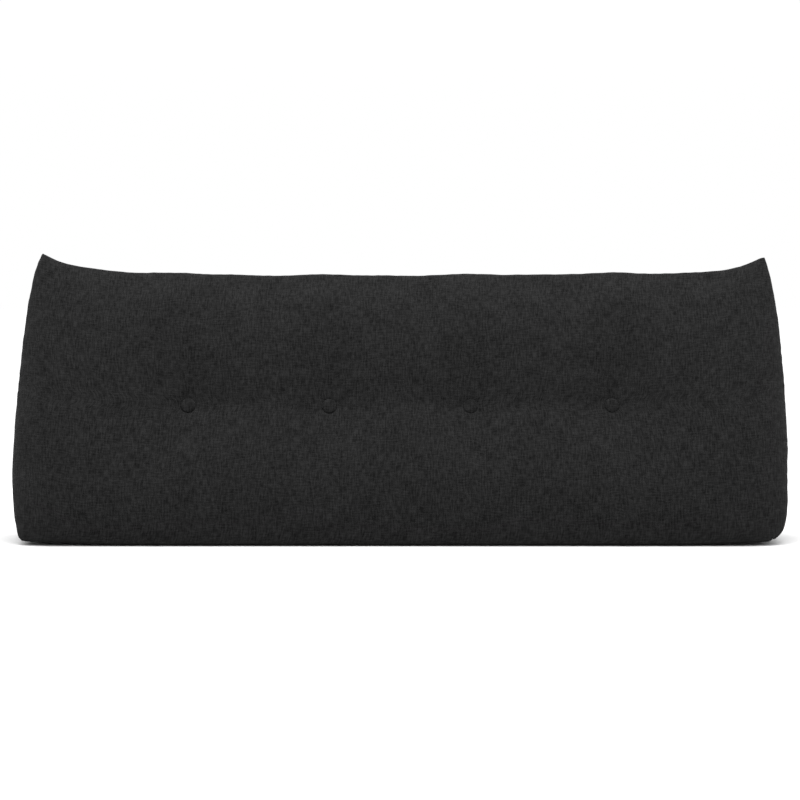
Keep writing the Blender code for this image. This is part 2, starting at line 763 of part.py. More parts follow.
def clear_scene():
    for obj in list(bpy.data.objects):
        bpy.data.objects.remove(obj)


def make_materials():
    return {
        "linen": material("cover_linen", (0.024, 0.024, 0.025), 0.92),
        "fibre": material("batting_fibre", (0.80, 0.80, 0.78), 0.95),
        "foam": material("core_foam", (0.78, 0.74, 0.62), 0.90),
        "tape": material("zip_tape_weave", (0.016, 0.016, 0.017), 0.85),
        "coil": material("zip_nylon", (0.012, 0.012, 0.013), 0.35),
        "zinc": material("zip_zinc", (0.045, 0.045, 0.048), 0.38, 1.0),
        "steel": material("button_steel", (0.55, 0.55, 0.56), 0.35, 1.0),
        "twine": material("tufting_twine", (0.62, 0.58, 0.48), 0.80),
        "anchor": material("anchor_plastic", (0.75, 0.75, 0.72), 0.45),
    }


def main():
    clear_scene()
    mats = make_materials()
    front = front_panel(mats["linen"])
    back_panels(mats["linen"])
    base_panel(mats["linen"])
    gusset("side_panel_left", -1, mats["linen"])
    gusset("side_panel_right", 1, mats["linen"])
    batting = fibre_batting(mats["fibre"])
    foam = foam_core(mats["foam"])
    tuft_holes((front, batting), foam, mats["foam"])
    for index, x in enumerate(BUTTON_X, start=1):
        button_parts(index, x, mats)
    zip_tapes(mats)
    zip_coils(mats)
    zip_stops(mats)
    zip_slider(mats)
    zip_pull(mats)


main()
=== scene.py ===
"""Looks of the wedge back cushion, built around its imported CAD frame.

The cover starts as one closed cloth mesh over the stuffed wedge. Blender's Cloth settles it while
its seams and tufting points hold it, and what it moves is carried over to six fine panels, which
get their sewn edges, their thickness and their weave. Everything is in metres: +X runs along the
width, the front faces -Y and +Z is up.
"""

from math import cos, pi, radians, sin

import bmesh
import bpy
import numpy as np
from mathutils import Matrix, Vector, kdtree


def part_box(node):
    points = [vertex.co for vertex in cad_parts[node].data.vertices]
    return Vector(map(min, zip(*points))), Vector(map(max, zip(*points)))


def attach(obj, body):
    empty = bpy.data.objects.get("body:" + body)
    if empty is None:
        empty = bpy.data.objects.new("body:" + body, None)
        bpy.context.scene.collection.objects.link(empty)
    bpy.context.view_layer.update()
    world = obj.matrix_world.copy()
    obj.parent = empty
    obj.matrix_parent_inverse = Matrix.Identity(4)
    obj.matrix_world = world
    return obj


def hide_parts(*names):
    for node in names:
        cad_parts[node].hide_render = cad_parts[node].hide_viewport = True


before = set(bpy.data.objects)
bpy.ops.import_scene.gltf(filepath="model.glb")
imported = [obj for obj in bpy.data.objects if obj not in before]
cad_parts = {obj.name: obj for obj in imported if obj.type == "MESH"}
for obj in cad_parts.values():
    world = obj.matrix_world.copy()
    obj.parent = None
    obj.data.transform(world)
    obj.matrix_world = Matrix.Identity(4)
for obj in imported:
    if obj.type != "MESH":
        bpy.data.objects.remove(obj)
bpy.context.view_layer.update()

BUTTONS = (1, 2, 3, 4)


# ---- dimensions from the frame ----


def node_points(name):
    """All vertices of a CAD node, as an array."""
    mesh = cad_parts[name].data
    points = np.empty(len(mesh.vertices) * 3)
    mesh.vertices.foreach_get("co", points)
    return points.reshape(-1, 3)


SEAM_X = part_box("front_panel")[1].x  # half width at the side seams
BACK_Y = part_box("back_panel_upper")[1].y  # the flat of the back
FOOT_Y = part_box("base_panel")[0].y  # the seam along the front of the base
RIDGE_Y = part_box("base_panel")[1].y  # the plane of the seams around the back
FOOT_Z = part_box("base_panel")[1].z  # height of the seams around the base
back_points = node_points("back_panel_upper")
RIDGE_Z = back_points[np.abs(back_points[:, 0]) < 0.02][:, 2].max()  # at the middle of the top seam
SLIDER_LOW, SLIDER_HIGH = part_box("zip_slider")
ZIP_Z = 0.5 * (SLIDER_LOW.z + SLIDER_HIGH.z)
TAPE_LOW, TAPE_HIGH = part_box("zip_tape_upper")
TAPE_Y = 0.5 * (TAPE_LOW.y + TAPE_HIGH.y)
BUTTON_X = [0.5 * (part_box(f"button_{n}_cover")[0].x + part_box(f"button_{n}_cover")[1].x) for n in BUTTONS]

# Seams of the stuffed cover. Where its two ends differ, -1 is the left one and 1 the right one.
EARS = {-1: ((0.014, 0.022), (0.0265, 0.115)), 1: ((0.021, 0.028), (0.0095, 0.085))}  # heights and reaches
EAR_BLUNT = {-1: 0.010, 1: 0.020}
EAR_PULL = {-1: ((0.020, 2), (0.0135, 12)), 1: ((0.0205, 6),)}  # the side seam's lean, as distance and power
FOOT_PULL = {-1: ((0.018, 10),), 1: ((0.014, 10.5), (0.016, 45))}  # the same for the rounded lower corner
FOOT_LIFT = {-1: (0.0055, 0.0020), 1: (0.0040, 0.0035)}  # the corner's rise off the floor, wide and narrow
LIFT_SPAN = (0.70, 0.94)  # where the wide part rises, as shares of the half width
LIFT_POWER = 16  # of the narrow part
FOOT_SINK = 0.0032  # how much nearer the floor its seam lies than in the frame
SEAM_BOW = 0.003  # how far the side seams bow out at mid height
CORNER_BACK = (0.014, 24)  # how far the lower front corners fall back, and the power it grows with
RIDGE_TILT = (0.0030, (-0.05, 0.45))  # rise of the ridge to the right, and the stretch in which it rises
RIDGE_SCALLOP = 0.0012  # height of the ridge's waves that go with the buttons
RIDGE_WAVE = (0.0006, 0.137, 2.4)  # height, length and phase of its other waves

# Faces of the stuffed cover
ROLL = 0.037  # how far the front stands out from its chord where it has no crease
ROLL_SWELL = 0.0150  # crown of each roll above the straight line from its seam to the crease
PLAIN_SWELL = 0.0075  # the same beyond the ends of the crease
EDGE_RISE = 0.0070  # how far the cloth steps out right at its seams
EDGE_REACH = 0.021
END_REACH = 0.085  # how far in from the side seams the front is full
CREASE_LEVEL = 0.0300  # what is left of the roll along the crease, between the buttons
CREASE_ROUND = 0.012
CREASE_END = (0.40, 0.68)
TUFT_LEVEL = 0.0113  # what is left of it beside a button
TUFT_REACH = (0.058, 0.058, 0.046, 0.048)
TUFT_ROUND = 0.016
NEST = 0.0037  # how much deeper the cloth lies under a button, which sits in it
NEST_WALL = (0.0095, 0.0160)
BUTTON_V = 0.495  # how far up the front they sit, as a share of its slope
FACE_REACH = 0.030  # how far in from its seams a plain face is full
SIDE_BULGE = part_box("side_panel_right")[1].x - SEAM_X
SIDE_REACH = (0.045, 0.050)  # how far in from its upright seams and from its foot a side is full
SIDE_FULL = 0.09  # the width from which a side bulges fully
BASE_LIFT = 0.55  # how much of its corner's lift the middle of the base keeps
TUFT_TALL = 0.85  # how much distance up the slope counts, so that dimples are taller than wide
GROOVE = (0.0035, 0.020, 0.036)  # the zip's groove: depth, half widths of its floor and mouth
GROOVE_END = (0.600, 0.632)
SLOT_HALF = 0.0050
SLOT_END = (0.562, 0.578)
COVER = 0.0012  # thickness of the cloth


# ---- mesh tools ----

SHARP_CLOTH, SHARP_FILLING, SHARP_METAL = 62.0, 50.0, 35.0  # degrees from which an edge is shaded sharp


def new_object(name, data):
    made = bpy.data.objects.new(name, data)
    bpy.context.scene.collection.objects.link(made)
    return made


def new_mesh(name, points, faces, mat=None):
    mesh = bpy.data.meshes.new(name)
    mesh.from_pydata(points, [], faces)
    if mat is not None:
        mesh.materials.append(mat)
    return mesh


def outward_faces(mesh):
    work = bmesh.new()
    work.from_mesh(mesh)
    bmesh.ops.recalc_face_normals(work, faces=work.faces)
    if work.calc_volume(signed=True) < 0.0:
        bmesh.ops.reverse_faces(work, faces=work.faces)
    work.to_mesh(mesh)
    work.free()


# ---- shapes of the stuffed cover ----


def smooth(value, start, end):
    """0 up to start, rising smoothly to 1 at end."""
    t = np.clip((value - start) / (end - start), 0.0, 1.0)
    return t * t * (3.0 - 2.0 * t)


def edge_rise(distance, reach):
    """Quarter-round rise from 0 at a seam to 1 where a face is full."""
    short = 1.0 - np.clip(distance / reach, 0.0, 1.0)
    return np.sqrt(1.0 - short * short)


def cusp(distance, reach, rounding):
    """1 at the middle of a dimple, falling off like pulled cloth, with a rounded bottom."""
    return np.exp(-(np.sqrt(distance**2 + rounding**2) - rounding) / reach)


def stack(x, y, z):
    return np.stack(np.broadcast_arrays(x, y, z), axis=-1)


def by_end(share, values):
    """The left end's value or the right end's, whichever a column belongs to."""
    return np.where(share < 0.0, values[-1], values[1])


def seam_x(share, v):
    """x of a column at height v: the side seams bow, and draw in towards their two corners."""
    pulls = {}
    for end, parts in EAR_PULL.items():
        pulls[end] = sum(d * v**p for d, p in parts) + sum(d * (1.0 - v) ** p for d, p in FOOT_PULL[end])
    drawn = SEAM_BOW * np.sin(pi * v) - by_end(share, pulls)
    return share * SEAM_X + np.sign(share) * np.abs(share) ** 10 * drawn


def ridge_height(share):
    """Height of the top seam at a share of the half width: its waves, its tilt and its ears."""
    x = seam_x(share, 1.0)
    pitch = BUTTON_X[1] - BUTTON_X[0]
    tall, long, phase = RIDGE_WAVE
    waves = tall * np.sin(2 * pi * x / long + phase) - RIDGE_SCALLOP * np.cos(2 * pi * x / pitch)
    tilt, stretch = RIDGE_TILT
    height = RIDGE_Z + waves * (1.0 - np.abs(share) ** 6) + tilt * smooth(x, *stretch)
    for end, parts in EARS.items():
        tip = abs(seam_x(np.array(float(end)), 1.0))
        from_tip = np.hypot(tip - end * x, EAR_BLUNT[end]) - EAR_BLUNT[end]
        height = height + sum(rise * np.exp(-from_tip / reach) for rise, reach in parts)
    return height


def foot_y(share):
    depth, power = CORNER_BACK
    return FOOT_Y + depth * np.abs(share) ** power


def foot_lift(share):
    wide = smooth(np.abs(share), *LIFT_SPAN)
    narrow = np.abs(share) ** LIFT_POWER
    return by_end(share, {end: a * wide + b * narrow for end, (a, b) in FOOT_LIFT.items()})


def foot_z(share):
    return FOOT_Z - FOOT_SINK + foot_lift(share)


def slope_at(share):
    """Run and rise of the front's chord, and its length."""
    run = RIDGE_Y - foot_y(share)
    rise = ridge_height(share) - foot_z(share)
    return run, rise, np.sqrt(run**2 + rise**2)


def front_roll(share, v):
    """How far the stuffed front stands out from its chord: two rolls, their crease, the tufts."""
    _, _, length = slope_at(share)
    along = v * length
    x = share * SEAM_X
    height = along - BUTTON_V * length
    from_crease = np.hypot(height, CREASE_ROUND) - CREASE_ROUND
    t = 1.0 - from_crease / np.where(height < 0.0, BUTTON_V * length, (1.0 - BUTTON_V) * length)
    t = np.clip(t, 0.0, 1.0)
    fade = 1.0 - smooth(np.abs(x), *CREASE_END)
    level = ROLL + (CREASE_LEVEL - ROLL) * fade
    swell = PLAIN_SWELL + (ROLL_SWELL - PLAIN_SWELL) * fade
    roll = (level - EDGE_RISE) * t + 4.0 * swell * t * (1.0 - t)
    roll = roll + EDGE_RISE * edge_rise(np.minimum(along, length - along), EDGE_REACH)
    for centre, reach in zip(BUTTON_X, TUFT_REACH):
        away = np.hypot(x - centre, TUFT_TALL * height)
        roll = roll - (CREASE_LEVEL - TUFT_LEVEL) * cusp(away, reach, TUFT_ROUND)
        roll = roll - NEST * (1.0 - smooth(np.hypot(x - centre, height), *NEST_WALL))
    return roll * edge_rise(SEAM_X * (1.0 - np.abs(share)), END_REACH)


def front_surface(share, v):
    run, rise, length = slope_at(share)
    roll = front_roll(share, v)
    y = foot_y(share) + v * run - rise / length * roll
    z = foot_z(share) + v * rise + run / length * roll
    return stack(seam_x(share, v), y, z)


def face_rise(from_end, along, length):
    """Rise of a plain face from 0 at its four seams to 1."""
    return edge_rise(from_end, FACE_REACH) * edge_rise(np.minimum(along, length - along), FACE_REACH)


def back_surface(share, w):
    height = ridge_height(share) - foot_z(share)
    z = foot_z(share) + w * height
    x = seam_x(share, w)
    rise = face_rise(SEAM_X * (1.0 - np.abs(share)), w * height, height)
    depth, floor, mouth = GROOVE
    groove = depth * (1.0 - smooth(np.abs(z - ZIP_Z), floor, mouth)) * (1.0 - smooth(np.abs(x), *GROOVE_END))
    return stack(x, RIDGE_Y + (BACK_Y - RIDGE_Y) * rise - groove, z)


def base_surface(share, t):
    depth = RIDGE_Y - foot_y(share)
    rise = face_rise(SEAM_X * (1.0 - np.abs(share)), t * depth, depth)
    z = foot_z(share) - (foot_z(share) - BASE_LIFT * foot_lift(share)) * rise
    return stack(seam_x(share, 0.0 * t), foot_y(share) + t * depth, z)


def side_surface(end, v, across):
    """A side panel at one end: v up its seams, and across from the front seam to the back."""
    share = np.array(float(end))
    front = front_surface(share, v)
    back = back_surface(share, v)
    spot = front + (back - front) * across[..., None]
    width = back[..., 1] - front[..., 1]
    rise = edge_rise(np.minimum(across, 1.0 - across) * width, SIDE_REACH[0])
    rise = rise * edge_rise(spot[..., 2] - foot_z(share), SIDE_REACH[1]) * np.minimum(1.0, width / SIDE_FULL)
    spot[..., 0] += end * SIDE_BULGE * rise
    return spot


# ---- the cloth ----

CLOTH_COLUMNS = 162
CLOTH_ROWS = 60
BASE_ROWS = 21
CLOTH_FRAMES = 24
CLOTH_CAP = 0.008  # how far the cloth may carry a point
EASE_ROUNDS = 4
EASE_SHARE = 0.6  # how far each round takes a point towards its neighbours
EASE_BELOW = 0.7  # what the cloth holds more firmly than this isn't eased
SEAM_HOLD = 0.75  # how firmly the cloth is held along its seams, from 0 to 1
BASE_HOLD = 0.6
PLAIN_HOLD = 0.16
FRONT_HOLD = 0.05
CREASE_HOLD = 0.20
CREASE_HALF = 0.010
TUFT_HOLD_R = 0.012
ZIP_HOLD_HALF = 0.055
STANDING = 0.012  # what lies lower than this stands on the floor, so it can't sag
CLOTH_SETTINGS = {
    "quality": 6,
    "mass": 0.02,
    "air_damping": 2.0,
    "tension_stiffness": 30.0,
    "compression_stiffness": 30.0,
    "shear_stiffness": 12.0,
    "bending_stiffness": 4.0,
    "tension_damping": 8.0,
    "compression_damping": 8.0,
    "shear_damping": 8.0,
    "vertex_group_mass": "hold",
    "pin_stiffness": 1.0,
    "use_pressure": True,
    "uniform_pressure_force": 2.0,
    "shrink_min": -0.012,
}


def zipped(rows):
    """Triangles between neighbouring rows of vertex numbers, whose counts may differ."""
    faces = []
    for low, high in zip(rows, rows[1:]):
        i = 0
        j = 0
        while i < len(low) - 1 or j < len(high) - 1:
            low_next = (i + 1) / (len(low) - 1) if i < len(low) - 1 else 2.0
            high_next = (j + 1) / (len(high) - 1) if j < len(high) - 1 else 2.0
            if low_next <= high_next:
                faces.append((low[i], low[i + 1], high[j]))
                i += 1
            else:
                faces.append((low[i], high[j + 1], high[j]))
                j += 1
    return faces


def grid_faces(ids):
    corners = (ids[:-1, :-1], ids[1:, :-1], ids[1:, 1:], ids[:-1, 1:])
    return list(zip(*(corner.ravel().tolist() for corner in corners)))


class ClothGrid:
    """Vertex numbers and rest places of the closed cover, panel by panel."""

    def __init__(self):
        columns, rows, base_rows = CLOTH_COLUMNS, CLOTH_ROWS, BASE_ROWS
        shares = np.linspace(-1.0, 1.0, columns + 1)[:, None]
        self.count = 0
        self.front = self.fresh((columns + 1, rows + 1))
        self.back = self.fresh((columns + 1, rows + 1))
        self.base = self.fresh((columns + 1, base_rows + 1))
        self.back[:, -1] = self.front[:, -1]
        self.base[:, 0] = self.front[:, 0]
        self.base[:, -1] = self.back[:, 0]
        self.rest = np.zeros((self.count + 2 * rows * base_rows, 3))
        self.rest[self.front] = front_surface(shares, np.linspace(0, 1, rows + 1)[None, :])
        inner = np.linspace(0, 1, rows + 1)[None, :-1]
        self.rest[self.back[:, :-1]] = back_surface(shares, inner)
        inner = np.linspace(0, 1, base_rows + 1)[None, 1:-1]
        self.rest[self.base[:, 1:-1]] = base_surface(shares, inner)
        self.sides = {end: self.side_rows(end) for end in (-1, 1)}
        self.rest = self.rest[: self.count]

    def fresh(self, shape):
        ids = np.arange(self.count, self.count + shape[0] * shape[1]).reshape(shape)
        self.count += ids.size
        return ids

    def side_rows(self, end):
        """Rows of a side panel, which narrows from the base to the ear."""
        column = 0 if end < 0 else -1
        rows = [self.base[column].tolist()]
        for j in range(1, CLOTH_ROWS):
            cells = max(1, round(BASE_ROWS * (1.0 - j / CLOTH_ROWS)))
            inner = self.fresh((1, cells - 1))[0]
            across = np.arange(1, cells) / cells
            self.rest[inner] = side_surface(end, np.full(cells - 1, j / CLOTH_ROWS), across)
            rows.append([int(self.front[column, j])] + inner.tolist() + [int(self.back[column, j])])
        return rows + [[int(self.front[column, -1])]]

    def faces(self):
        found = grid_faces(self.front) + grid_faces(self.back) + grid_faces(self.base)
        for rows in self.sides.values():
            found += zipped(rows)
        return found


def hold_weights(grid):
    """How firmly each point of the cloth is held: seams, base, zip and tufts hard, the rest softly."""
    rest = grid.rest
    weights = np.full(grid.count, PLAIN_HOLD)
    front = grid.front
    shares = np.linspace(-1.0, 1.0, CLOTH_COLUMNS + 1)[:, None]
    length = slope_at(shares)[2]
    height = (np.linspace(0, 1, CLOTH_ROWS + 1)[None, :] - BUTTON_V) * length
    on_crease = (np.abs(height) < CREASE_HALF) & (np.abs(shares * SEAM_X) < CREASE_END[0])
    loose = np.where(on_crease, CREASE_HOLD, FRONT_HOLD)
    for centre in BUTTON_X:
        away = np.sqrt((shares * SEAM_X - centre) ** 2 + height**2)
        loose = np.where(away < TUFT_HOLD_R, 1.0, loose)
    weights[front] = loose
    back = grid.back
    for seam in (front[:, 0], front[:, -1], front[0], front[-1], back[0], back[-1], back[:, 0]):
        weights[seam] = SEAM_HOLD
    weights[grid.base[:, 1:-1]] = BASE_HOLD
    near_zip = np.abs(rest[:, 2] - ZIP_Z) < ZIP_HOLD_HALF
    on_back = rest[:, 1] > RIDGE_Y - 0.003
    weights[near_zip & on_back] = 1.0
    return weights


def eased(moves, faces, held):
    """The moves, with what is sharper than the padding under the cloth averaged out."""
    edges = {tuple(sorted(pair)) for face in faces for pair in zip(face, face[1:] + face[:1])}
    a, b = np.array(sorted(edges)).T
    ends = np.concatenate([a, b])
    others = np.concatenate([b, a])
    near = (EASE_SHARE * (held < EASE_BELOW))[:, None]
    share = near / np.maximum(np.bincount(ends), 1)[:, None]
    for _ in range(EASE_ROUNDS):
        total = np.stack([np.bincount(ends, moves[others, k]) for k in range(3)], axis=1)
        moves = moves * (1.0 - near) + total * share
    return moves


def settle_cloth(grid):
    """Blender's Cloth over the closed cover: returns how far it carries each point."""
    faces = grid.faces()
    mesh = new_mesh("cover_cloth", grid.rest.tolist(), faces)
    outward_faces(mesh)
    cloth = new_object("cover_cloth", mesh)
    group = cloth.vertex_groups.new(name="hold")
    held = hold_weights(grid)
    for number, weight in enumerate(held.tolist()):
        group.add([number], weight, "REPLACE")
    modifier = cloth.modifiers.new("cloth", "CLOTH")
    settings = modifier.settings
    for key, value in CLOTH_SETTINGS.items():
        setattr(settings, key, value)
    settings.effector_weights.gravity = 0.0
    modifier.collision_settings.use_collision = False
    modifier.collision_settings.use_self_collision = False
    modifier.point_cache.frame_end = CLOTH_FRAMES
    for step in range(1, CLOTH_FRAMES + 1):
        bpy.context.scene.frame_set(step)
    settled = cloth.evaluated_get(bpy.context.evaluated_depsgraph_get())
    points = np.empty(grid.count * 3)
    settled.data.vertices.foreach_get("co", points)
    bpy.data.objects.remove(cloth)
    bpy.context.scene.frame_set(1)
    moved = points.reshape(-1, 3) - grid.rest
    reach = np.linalg.norm(moved, axis=1, keepdims=True)
    moved *= np.tanh(reach / CLOTH_CAP) * CLOTH_CAP / np.maximum(reach, 1e-9)
    moved = eased(moved, faces, held)
    standing = grid.rest[:, 2] < STANDING
    moved[standing, 2] = np.maximum(moved[standing, 2], 0.0)
    return moved


# ---- carrying the cloth's moves over to the fine panels ----


def spline_weights(places, cells):
    """Catmull-Rom weights that read a row of cells + 1 even samples at places from 0 to 1."""
    at = np.clip(places, 0.0, 1.0) * cells
    start = np.minimum(at.astype(int), cells - 1)
    t = at - start
    parts = (
        -0.5 * t + t**2 - 0.5 * t**3,
        1.0 - 2.5 * t**2 + 1.5 * t**3,
        0.5 * t + 2.0 * t**2 - 1.5 * t**3,
        -0.5 * t**2 + 0.5 * t**3,
    )
    weights = np.zeros((len(places), cells + 1))
    for offset, part in zip((-1, 0, 1, 2), parts):
        np.add.at(weights, (np.arange(len(places)), np.clip(start + offset, 0, cells)), part)
    return weights


def carried(moves, shares, rows):
    """The cloth's moves on one panel, read at fine columns and rows."""
    across = spline_weights((shares + 1.0) / 2.0, moves.shape[0] - 1)
    up = spline_weights(rows, moves.shape[1] - 1)
    return np.einsum("aik,bi->abk", np.tensordot(across, moves, (1, 0)), up, optimize=True)


def fine_steps(length, spacing, crowded=(0.0, 0.0006, 0.0014, 0.0025, 0.0042, 0.0065, 0.0095)):
    """Places from 0 to 1 along a face, crowded towards the seams at both ends."""
    low = [step / length for step in crowded]
    high = [1.0 - step for step in reversed(low)]
    middle = np.linspace(low[-1], high[0], max(2, round((high[0] - low[-1]) * length / spacing)) + 1)
    return np.concatenate([low, middle[1:-1], high])


FINE = 0.0036
FINE_SHARES = 2.0 * fine_steps(2.0 * SEAM_X, FINE) - 1.0
FRONT_LENGTH = 0.503
FRONT_ROWS = fine_steps(FRONT_LENGTH, FINE)
BASE_FINE_ROWS = fine_steps(0.179, 0.006)
SIDE_SPACING = 0.005
SIDE_NARROW = 0.040  # rows of a side panel that are shorter have even steps


# ---- sewn seams ----

SEAM_DEPTH = 0.0026  # how far a seam sinks between its two panels
SEAM_ROLL = 0.0058  # how far from the seam the cloth is back at its full height
PUCKER = 0.0007
PUCKER_PEAK = 0.006  # distance from the seam at which its puckers are highest
PUCKER_WAVES = (0.013, 0.021, 0.034)  # their lengths along the seam
WAVE_HEIGHT = 1.6  # of the three added up, about
PUCKER_SWELL = (0.25, 1.0)  # how much they come and go along the seam, and over which length
SWELL_LENGTH = 0.09
SEAM_RANGE = 0.032
WAVE_STEP = 0.002


def unit(*parts):
    vector = np.array(parts, float)
    return vector / np.linalg.norm(vector)


def noise_along(length, spacing, rng):
    """A smooth random wave along a seam, of about unit height."""
    at = np.arange(0.0, length + spacing, spacing)
    wave = np.zeros(len(at))
    for wavelength in PUCKER_WAVES:
        knots = rng.uniform(-1.0, 1.0, int(length / wavelength * 2) + 4)
        wave += np.interp(at / wavelength * 2, np.arange(len(knots)), knots)
    swell = rng.uniform(*PUCKER_SWELL, int(length / SWELL_LENGTH) + 3)
    return wave / WAVE_HEIGHT * np.interp(at / SWELL_LENGTH, np.arange(len(swell)), swell)


class Seam:
    """A sewn seam: where it runs, the way that it sinks, and the puckers along it."""

    def __init__(self, points, inward, rng):
        self.inward = inward
        steps = np.linalg.norm(np.diff(points, axis=0), axis=1)
        along = np.concatenate([[0.0], np.cumsum(steps)])
        wave = noise_along(along[-1], WAVE_STEP, rng)
        self.wave = np.interp(along, np.arange(len(wave)) * WAVE_STEP, wave)
        self.tree = kdtree.KDTree(len(points))
        for number, point in enumerate(points):
            self.tree.insert(point, number)
        self.tree.balance()
        self.low = points.min(0) - SEAM_RANGE
        self.high = points.max(0) + SEAM_RANGE


def build_seams(front, back, base):
    """The nine seams, from the fine grids' own borders. All panels share them."""
    slope_out = unit(0.0, -(RIDGE_Z - FOOT_Z), RIDGE_Y - FOOT_Y)
    rng = np.random.default_rng(41)
    behind = unit(0, 1, 0)
    below = unit(0, 0, -1)
    seams = [
        Seam(front[:, -1], -unit(*(slope_out + behind)), rng),
        Seam(front[:, 0], -unit(*(slope_out + below)), rng),
        Seam(base[:, -1], -unit(*(behind + below)), rng),
    ]
    for column, side in ((0, unit(-1, 0, 0)), (-1, unit(1, 0, 0))):
        seams.append(Seam(front[column], -unit(*(slope_out + side)), rng))
        seams.append(Seam(back[column], -unit(*(behind + side)), rng))
        seams.append(Seam(base[column], -unit(*(below + side)), rng))
    return seams


def sew(points, normals, seams):
    """Sink the cloth at its seams and pucker it beside them."""
    moved = points.copy()
    for seam in seams:
        near = np.nonzero(np.all((points > seam.low) & (points < seam.high), axis=1))[0]
        if len(near) == 0:
            continue
        found = [seam.tree.find(point)[1:] for point in points[near].tolist()]
        place, distance = np.array(found).T
        sunk = SEAM_DEPTH * (1.0 - edge_rise(distance, SEAM_ROLL))
        bump = distance / PUCKER_PEAK * np.exp(1.0 - distance / PUCKER_PEAK) * PUCKER
        bump *= seam.wave[place.astype(int)] * (1.0 - smooth(distance, 0.6 * SEAM_RANGE, SEAM_RANGE))
        moved[near] += sunk[:, None] * seam.inward + bump[:, None] * normals[near]
    return moved


# ---- panels ----


def smooth_sides(mesh, sharp):
    mesh.shade_smooth()
    mesh.set_sharp_from_angle(angle=radians(sharp))


def vertex_normals(points, faces):
    mesh = new_mesh("normals", points.tolist(), faces)
    normals = np.empty(len(points) * 3)
    mesh.vertex_normals.foreach_get("vector", normals)
    bpy.data.meshes.remove(mesh)
    return normals.reshape(-1, 3)


def rim_edges(faces):
    """Directed edges that only one face uses."""
    directed = {pair for face in faces for pair in zip(face, face[1:] + face[:1])}
    return sorted((a, b) for a, b in directed if (b, a) not in directed)


def closed_sheet(name, outer, inner, faces, mat):
    """A closed mesh between an outer and an inner surface with the same faces."""
    count = len(outer)
    under = [tuple(a + count for a in reversed(face)) for face in faces]
    rim = [(b, a, a + count, b + count) for a, b in rim_edges(faces)]
    return new_mesh(name, np.concatenate([outer, inner]).tolist(), faces + under + rim, mat)


def cloth_shell(name, points, faces, weave, thickness, mat):
    """A closed sheet of cloth under an outer surface, with its weave coordinates in metres."""
    inner = points - vertex_normals(points, faces) * thickness
    mesh = closed_sheet(name, points, inner, faces, mat)
    loops = np.empty(len(mesh.loops), int)
    mesh.loops.foreach_get("vertex_index", loops)
    layer = mesh.uv_layers.new(name="weave")
    layer.uv.foreach_set("vector", np.concatenate([weave, weave])[loops].ravel())
    smooth_sides(mesh, SHARP_CLOTH)
    return new_object(name, mesh)


def facing_out(faces, points, middle):
    """The faces, all turned so that most of them look away from a point."""
    outward = 0.0
    for face in faces[:: max(1, len(faces) // 200)]:
        a, b, c = (points[k] for k in face[:3])
        outward += np.dot(np.cross(b - a, c - a), a - middle)
    return [tuple(reversed(face)) for face in faces] if outward < 0.0 else faces


MIDDLE = np.array((0.0, 0.04, 0.16))  # of the cushion
FAR_BEHIND = np.array((0.0, 3.0, 0.2))


def grid_sheet(grid, middle):
    """A grid's points in one list, and its faces, which look away from the middle."""
    ids = np.arange(grid.shape[0] * grid.shape[1]).reshape(grid.shape[:2])
    points = grid.reshape(-1, 3)
    return points, facing_out(grid_faces(ids), points, middle)


def arc_coordinates(grid):
    """Distance along a grid's columns and up its rows, in metres, from its middle."""
    across = np.linalg.norm(np.diff(grid, axis=0), axis=2)
    up = np.linalg.norm(np.diff(grid, axis=1), axis=2)
    u = np.concatenate([np.zeros((1, grid.shape[1])), np.cumsum(across, axis=0)])
    v = np.concatenate([np.zeros((grid.shape[0], 1)), np.cumsum(up, axis=1)], axis=1)
    return np.stack([u - u[-1:] / 2.0, v - v[:, -1:] / 2.0], axis=-1)


def grid_panel(name, grid, seams, mat, origin):
    """A panel over a grid of outer points. Its weave starts at an origin of its own."""
    points, faces = grid_sheet(grid, MIDDLE)
    points = sew(points, vertex_normals(points, faces), seams)
    return cloth_shell(name, points, faces, arc_coordinates(grid).reshape(-1, 2) + origin, COVER, mat)


def side_moves(cloth, moves, end, v, across):
    """The cloth's moves on a side panel, read between its rows."""
    rows = cloth.sides[end]
    at = v * (len(rows) - 1)
    low = int(at)
    lines = []
    for row in (rows[low], rows[low + 1]):
        places = np.linspace(0.0, 1.0, len(row))
        lines.append(np.stack([np.interp(across, places, moves[row, k]) for k in range(3)], axis=-1))
    return lines[0] + (lines[1] - lines[0]) * (at - low)


def side_panel(name, end, cloth, moves, neighbours, seams, mat):
    """A side panel: rows that narrow to the ear, with the borders of its three neighbours."""
    front, back, base = (grid[0 if end < 0 else -1] for grid in neighbours)
    points = list(base)
    rows = [list(range(len(points)))]
    for v, fore, aft in list(zip(FRONT_ROWS, front, back))[1:-1]:
        width = np.linalg.norm(aft - fore)
        plain = np.linspace(0.0, 1.0, max(1, round(width / SIDE_SPACING)) + 1)
        across = fine_steps(width, SIDE_SPACING) if width > SIDE_NARROW else plain
        line = side_surface(end, np.full(len(across), v), across)
        line += side_moves(cloth, moves, end, v, across)
        line[0], line[-1] = fore, aft
        rows.append(list(range(len(points), len(points) + len(line))))
        points.extend(line)
    rows.append([len(points)])
    points = np.array(points + [front[-1]])
    faces = facing_out(zipped(rows), points, MIDDLE)
    weave = points[:, 1:3] * np.array((float(end), 1.0))
    points = sew(points, vertex_normals(points, faces), seams)
    return cloth_shell(name, points, faces, weave, COVER, mat)


# ---- node tools ----


